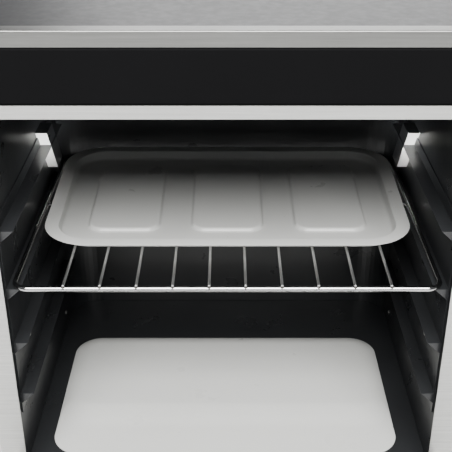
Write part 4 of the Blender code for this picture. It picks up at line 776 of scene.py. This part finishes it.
wire_z = rack_high.z - THIN_WIRE
frame_faces = set(rack_shape.faces)
first_wire = (WIRE_COUNT - 1) / 2
wire_places = [rack_middle + (k - first_wire) * WIRE_PITCH for k in range(WIRE_COUNT)]
for x in wire_places:
    front_end, rear_end = (x, front_axis - WIRE_END, wire_z), (x, rear_axis + WIRE_END, wire_z)
    straight_wire(rack_shape, front_end, rear_end, THIN_WIRE, THIN_SIDES)
for face in set(rack_shape.faces) - frame_faces:
    face.material_index = THIN_INDEX
bar_ends = [(rack_middle + side * side_x, front_axis + BAR_PLACE, rack_z) for side in (-1, 1)]
straight_wire(rack_shape, *bar_ends, BAR_WIRE, BAR_SIDES)
bmesh.ops.recalc_face_normals(rack_shape, faces=rack_shape.faces)
for x in wire_places:
    for y in (front_axis, rear_axis):
        made = bmesh.ops.create_icosphere(rack_shape, subdivisions=2, radius=BEAD_RADIUS)
        bead = made["verts"]
        bmesh.ops.scale(rack_shape, vec=BEAD_FORM, verts=bead)
        bmesh.ops.translate(rack_shape, vec=(x, y - BEAD_FORWARD, rack_z + BEAD_RISE), verts=bead)
        for face in {face for vert in bead for face in vert.link_faces}:
            face.material_index = WELD_INDEX
print("rack faces:", len(rack_shape.faces))
rack_finishes = [chrome, weld, dull_chrome]
fine_rack = add_piece("fine_wire_rack", rack_shape, rack_finishes, "rack", ["wire_rack"])
soften(fine_rack, 0.3 * MM, 60)

# %% [markdown]
# ## Two painted highlights on the side walls
#
# High on each side wall there is a slanting bright face of reflected light, with a thin bright line
# in front of it; here both are painted. A block carries them: its front face slants, so that its
# top is nearer to the door than its foot; a cube, scaled and then sheared, is enough. Only the
# front face and the line have the pale enamel, as painted highlights.

# %% Wall blocks with painted highlights
BLOCK_DEPTH, BLOCK_HEIGHT, BLOCK_LENGTH = 11.8 * MM, 49 * MM, 26 * MM
BLOCK_SLANT = -0.70  # y for each z, along the front face
BLOCK_FRONT, BLOCK_FOOT = 201 * MM, 252.0 * MM  # y from the front plane and z from the table
LINE_TOP, LINE_FOOT = (160 * MM, 281 * MM), (198 * MM, 235 * MM)  # y and z of the line's ends
LINE_RADIUS, LINE_SIDES, LINE_OFF_WALL = 0.75 * MM, 10, 1.0 * MM
# The pale index marks painted highlights: faces that stand in for light reflected off the side
# walls.
BLACK_INDEX, PAINTED_HIGHLIGHT_INDEX = 0, 1


def painted_highlight_block(name, side):
    """A slanted block whose front face and thin line are painted highlights, on the wall at a side
    (-1 or 1).
    """
    wall_x = MIDDLE_X + side * (wall_high.x - wall_low.x) / 2
    shape = bmesh.new()
    verts = bmesh.ops.create_cube(shape, size=1)["verts"]
    bmesh.ops.translate(shape, vec=(-side * 0.5, 0.5, 0.5), verts=verts)
    bmesh.ops.scale(shape, vec=(BLOCK_DEPTH, BLOCK_LENGTH, BLOCK_HEIGHT), verts=verts)
    slant = Matrix.Identity(4)
    slant[1][2] = BLOCK_SLANT
    bmesh.ops.transform(shape, matrix=slant, verts=verts)
    bmesh.ops.translate(shape, vec=(wall_x, FRONT_Y + BLOCK_FRONT, BLOCK_FOOT), verts=verts)
    # Faces that look towards the door take the pale enamel as a painted highlight.
    for face in shape.faces:
        face.material_index = PAINTED_HIGHLIGHT_INDEX if face.normal.y < -0.5 else BLACK_INDEX
    block_faces = set(shape.faces)
    line_x = wall_x - side * LINE_OFF_WALL
    ends = [(line_x, FRONT_Y + y, z) for y, z in (LINE_TOP, LINE_FOOT)]
    straight_wire(shape, *ends, LINE_RADIUS, LINE_SIDES)
    # The thin line is pale as well: a painted highlight.
    for face in set(shape.faces) - block_faces:
        face.material_index = PAINTED_HIGHLIGHT_INDEX
    bmesh.ops.recalc_face_normals(shape, faces=shape.faces)
    highlight_block = add_piece(name, shape, [black_enamel, grey_enamel], "oven_body")
    soften(highlight_block, 0.5 * MM, 40)
    return highlight_block


for name, side in (("left_painted_highlight_block", -1), ("right_painted_highlight_block", 1)):
    highlight_block = painted_highlight_block(name, side)
    print(name, "faces:", len(highlight_block.data.polygons))

# %% [markdown]
# ## Rivets and screws
#
# A blind rivet is a low dome with a small pit where its pin broke off, so its section is spun round
# its axis. A sheet-metal screw has a hexagon on a thin washer. Both are made at the origin, looking
# along +z, and then turned and moved to their place.

# %% Helpers for fasteners
# sections are (radius, height) in mm, from the rim inwards
RIVET_SECTION = (
    (2.6, 0), (2.6, 0.25), (2.3, 0.62), (1.7, 0.95), (1.0, 1.08), (0.7, 1.05), (0.55, 0.8),
    (0.5, 0.45),
)
WASHER_SECTION = ((4.2, 0), (4.2, 0.35), (3.9, 0.6), (2.4, 0.75))
RIVET_SIDES, WASHER_SIDES = 20, 24
HEAD_RADIUS, HEAD_HEIGHT, HEAD_TAPER, HEAD_FOOT = 2.9 * MM, 2.3 * MM, 0.96, 0.4 * MM


def spun(shape, section, sides):
    """A section in mm, (radius, height), spun round z."""
    verts = [shape.verts.new((radius * MM, 0, height * MM)) for radius, height in section]
    edges = [shape.edges.new(pair) for pair in zip(verts, verts[1:])]
    bmesh.ops.spin(
        shape, geom=verts + edges, cent=(0, 0, 0), axis=(0, 0, 1), angle=2 * math.pi,
        steps=sides, use_merge=True,
    )


def fastener(shape, place, direction, kind):
    """A rivet or a hexagon screw at a place, looking along a direction."""
    known = set(shape.verts)
    if kind == "rivet":
        spun(shape, RIVET_SECTION, RIVET_SIDES)
    else:
        spun(shape, WASHER_SECTION, WASHER_SIDES)
        bmesh.ops.create_cone(
            shape, cap_ends=True, segments=6, radius1=HEAD_RADIUS,
            radius2=HEAD_RADIUS * HEAD_TAPER, depth=HEAD_HEIGHT,
            matrix=Matrix.Translation((0, 0, HEAD_FOOT + HEAD_HEIGHT / 2)),
        )
    new = list(set(shape.verts) - known)
    turn = Vector((0, 0, 1)).rotation_difference(Vector(direction)).to_matrix()
    bmesh.ops.rotate(shape, cent=(0, 0, 0), matrix=turn, verts=new)
    bmesh.ops.translate(shape, vec=place, verts=new)


def fasteners(name, places, kind):
    """One zinc-plated piece that holds all the fasteners of a kind on the oven's body."""
    shape = bmesh.new()
    for place, direction in places:
        fastener(shape, place, direction, kind)
    open_edges = [edge for edge in shape.edges if edge.is_boundary]
    bmesh.ops.holes_fill(shape, edges=open_edges, sides=0)
    bmesh.ops.recalc_face_normals(shape, faces=shape.faces)
    piece = add_piece(name, shape, [zinc], "oven_body")
    soften(piece, 0.12 * MM, 40)
    print(name, len(places))

# %% [markdown]
# The rivets sit on the cavity's walls, where the photograph shows small bright points. The rear
# panel is screwed round its edge, and the casing along its foot.

# %% Rivets and screws
# y and z from the front plane and the table, and how far the surface stands off the wall, in mm
WALL_RIVETS = ((190.2, 155.5, 1.1), (60, 155.5, 1.1), (219, 72, 0), (60, 100, 0))
CAVITY_HALF = 0.175  # half of the cavity's inner width
places = []
for y, z, off in WALL_RIVETS:
    for side in (-1, 1):
        x = MIDDLE_X + side * (CAVITY_HALF - off * MM)
        places.append(((x, FRONT_Y + y * MM, z * MM), (-side, 0, 0)))
fasteners("cavity_wall_rivets", places, "rivet")

rear_low, rear_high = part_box("rear_panel")
REAR_EDGE = 9 * MM
REAR_SHARES, REAR_HEIGHTS = (0.04, 0.35, 0.65, 0.96), (0.18, 0.31)
places = []
for share_x in REAR_SHARES:
    x = rear_low.x + (rear_high.x - rear_low.x) * share_x
    for z in (rear_low.z + REAR_EDGE, rear_high.z - REAR_EDGE):
        places.append(((x, rear_high.y, z), (0, 1, 0)))
for z in REAR_HEIGHTS:
    for x in (rear_low.x + REAR_EDGE, rear_high.x - REAR_EDGE):
        places.append(((x, rear_high.y, z), (0, 1, 0)))
fasteners("rear_panel_screws", places, "screw")

casing_low, casing_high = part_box("outer_casing")
CASING_END, CASING_FOOT = 0.03, 0.012
casing_middle = (casing_low.y + casing_high.y) / 2
places = []
for y in (casing_low.y + CASING_END, casing_middle, casing_high.y - CASING_END):
    for x, outwards in ((casing_low.x, -1), (casing_high.x, 1)):
        places.append(((x, y, casing_low.z + CASING_FOOT), (outwards, 0, 0)))
fasteners("casing_screws", places, "screw")

# %% [markdown]
# ## Dial marks and pointers
#
# Short raised ticks stand round each knob, printed in a pale ink, and a line on each knob's grip
# shows where it points. The ticks belong to the oven's body; each line turns with its knob. A knob
# starts at the top and turns clockwise.

# %% Dial marks
panel_low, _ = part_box("control_panel")
TICK_RADIUS, TICK = 26 * MM, (0.9 * MM, 0.16 * MM, 3.6 * MM)
POINTER_RISE, POINTER = 8.5 * MM, (1.1 * MM, 0.24 * MM, 9 * MM)
DIALS = (("temperature", 270, 10), ("function", 180, 3), ("timer", 300, 12))  # sweep and steps


def bar(shape, centre, size, angle=0.0, pivot=None):
    """A small box, turned round the y axis about a pivot."""
    verts = bmesh.ops.create_cube(shape, size=1)["verts"]
    turn = Matrix.Rotation(angle, 3, "Y")
    bmesh.ops.scale(shape, vec=size, verts=verts)
    bmesh.ops.translate(shape, vec=centre, verts=verts)
    bmesh.ops.rotate(shape, cent=pivot or centre, matrix=turn, verts=verts)


ticks_shape = bmesh.new()
for dial, sweep, steps in DIALS:
    knob_low, knob_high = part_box(dial + "_knob")
    axis = Vector(((knob_low.x + knob_high.x) / 2, panel_low.y, (knob_low.z + knob_high.z) / 2))
    for k in range(steps + 1):
        angle = math.radians(sweep * k / steps)
        bar(ticks_shape, axis + Vector((0, 0, TICK_RADIUS)), TICK, angle, axis)
    pointer_shape = bmesh.new()
    bar(pointer_shape, (axis.x, knob_low.y, axis.z + POINTER_RISE), POINTER)
    body = dial + "_control"
    pointer = add_piece(dial + "_pointer", pointer_shape, [marks_ink], body)
    soften(pointer, 0.05 * MM, 40)
ticks = add_piece("dial_ticks", ticks_shape, [marks_ink], "oven_body")
soften(ticks, 0.04 * MM, 40)
print("ticks:", len(ticks.data.polygons) // 6, "panel front", round(panel_low.y, 4))

# %% [markdown]
# ## Floor
#
# The oven stands on a plain pale floor.

# %% Floor
FLOOR_HALF = 4.0
floor_shape = bmesh.new()
bmesh.ops.create_grid(floor_shape, x_segments=1, y_segments=1, size=FLOOR_HALF)
floor_mesh = bpy.data.meshes.new("studio_floor")
floor_shape.to_mesh(floor_mesh)
floor_shape.free()
floor = bpy.data.objects.new("studio_floor", floor_mesh)
bpy.context.scene.collection.objects.link(floor)
pale = new_finish("pale_floor", (0.78, 0.78, 0.77), 0.6)
tint(pale, noise(pale, 3, detail=3.0), (0.76, 0.76, 0.75), (0.80, 0.80, 0.79))
floor_mesh.materials.append(pale)
print("floor:", 2 * FLOOR_HALF, "m across")

# %% [markdown]
# ## Lights
#
# The photograph's light comes from above and in front: the front edge of the tray is bright, and
# its back fades into the dark of the cavity. One wide soft light above the camera does that,
# because the oven's roof hides more of it the deeper one looks. A narrow one higher up adds to the
# edges, and a weak glow from low in front reaches under the tray. Two narrow beams pick out the
# painted highlights on the side walls, each from the other side of the middle. Dimmer lights at the
# sides and behind lift the casing and the back without reaching inside.

# %% Lights
CENTRE_Z = 0.30


def soft_light(name, place, target, size, power):
    """A rectangular soft light that looks at a point; size in metres, power in watts."""
    data = bpy.data.lights.new(name, "AREA")
    data.shape = "RECTANGLE"
    data.size, data.size_y = size
    data.energy = power
    lamp = bpy.data.objects.new(name, data)
    bpy.context.scene.collection.objects.link(lamp)
    lamp.location = place
    aim = Vector(target) - Vector(place)
    lamp.rotation_euler = aim.to_track_quat("-Z", "Y").to_euler()
    return lamp


def from_front(distance, elevation):
    """A place at a distance and elevation in front of the opening."""
    angle = math.radians(elevation)
    back, rise = distance * math.cos(angle), distance * math.sin(angle)
    return (MIDDLE_X, FRONT_Y - back, CENTRE_Z + rise)


opening = (MIDDLE_X, FRONT_Y, CENTRE_Z)
soft_light("key_above_camera", from_front(1.9, 53), opening, (1.9, 1.25), 125)
soft_light("top_front_fill", from_front(1.7, 76), opening, (1.2, 0.5), 10)
glow_place, glow_target = (MIDDLE_X, FRONT_Y - 0.75, 0.12), (MIDDLE_X, FRONT_Y, 0.26)
soft_light("low_front_glow", glow_place, glow_target, (1.2, 0.16), 0.6)

ACCENT_SIZE, ACCENT_POWER, ACCENT_SPREAD = (0.03, 0.03), 0.035, 5
for side in (-1, 1):
    accent_place = (MIDDLE_X - side * 0.06, FRONT_Y - 0.60, 0.33)
    accent_target = (MIDDLE_X + side * 0.172, FRONT_Y + 0.17, 0.288)
    accent = soft_light("wall_accent", accent_place, accent_target, ACCENT_SIZE, ACCENT_POWER)
    accent.data.spread = math.radians(ACCENT_SPREAD)

soft_light("left_fill", (-1.9, 0.9, 1.1), (0, 0.2, 0.2), (1.2, 1.2), 22)
soft_light("right_fill", (1.9, 0.9, 1.1), (0, 0.2, 0.2), (1.2, 1.2), 22)
soft_light("back_fill", (0.2, 2.3, 1.3), (0, 0.3, 0.2), (1.6, 1.0), 26)
print("lights:", len(bpy.data.lights))

# %% [markdown]
# A faint cool light from all round keeps the deepest shadows from going quite black.

# %% World
AIR_COLOUR, AIR_STRENGTH = (0.93, 0.95, 1.0, 1), 0.13
world = bpy.data.worlds.new("studio_air")
world.use_nodes = True
air = world.node_tree.nodes["Background"]
air.inputs["Color"].default_value = AIR_COLOUR
air.inputs["Strength"].default_value = AIR_STRENGTH
bpy.context.scene.world = world
print("world:", world.name)

# %% [markdown]
# ## Camera
#
# The camera stands in front of the opening, above it, and looks down. Its place, its pitch and its
# focal length come from the edges of the opening in the photograph, and a small shift centres it.

# %% Camera
LENS_PIXELS = 877.4  # focal length in pixels of the 452 pixel frame
FRAME_PIXELS = 452
SENSOR = 36  # mm
SHIFT_X, SHIFT_Y = -1.4, 0.5  # pixels
CAMERA_BACK, CAMERA_HEIGHT = 0.5775, 0.6005
PITCH = math.radians(28)
camera_data = bpy.data.cameras.new("photo_camera")
camera_data.sensor_width = SENSOR
camera_data.lens = SENSOR * LENS_PIXELS / FRAME_PIXELS
camera_data.shift_x = SHIFT_X / FRAME_PIXELS
camera_data.shift_y = SHIFT_Y / FRAME_PIXELS
camera_data.clip_start = 0.01
camera_data.clip_end = 50
camera = bpy.data.objects.new("photo_camera", camera_data)
bpy.context.scene.collection.objects.link(camera)
camera.location = (MIDDLE_X, FRONT_Y - CAMERA_BACK, CAMERA_HEIGHT)
camera.rotation_euler = (math.pi / 2 - PITCH, 0, 0)
bpy.context.scene.camera = camera
print("camera", tuple(round(c, 4) for c in camera.location))
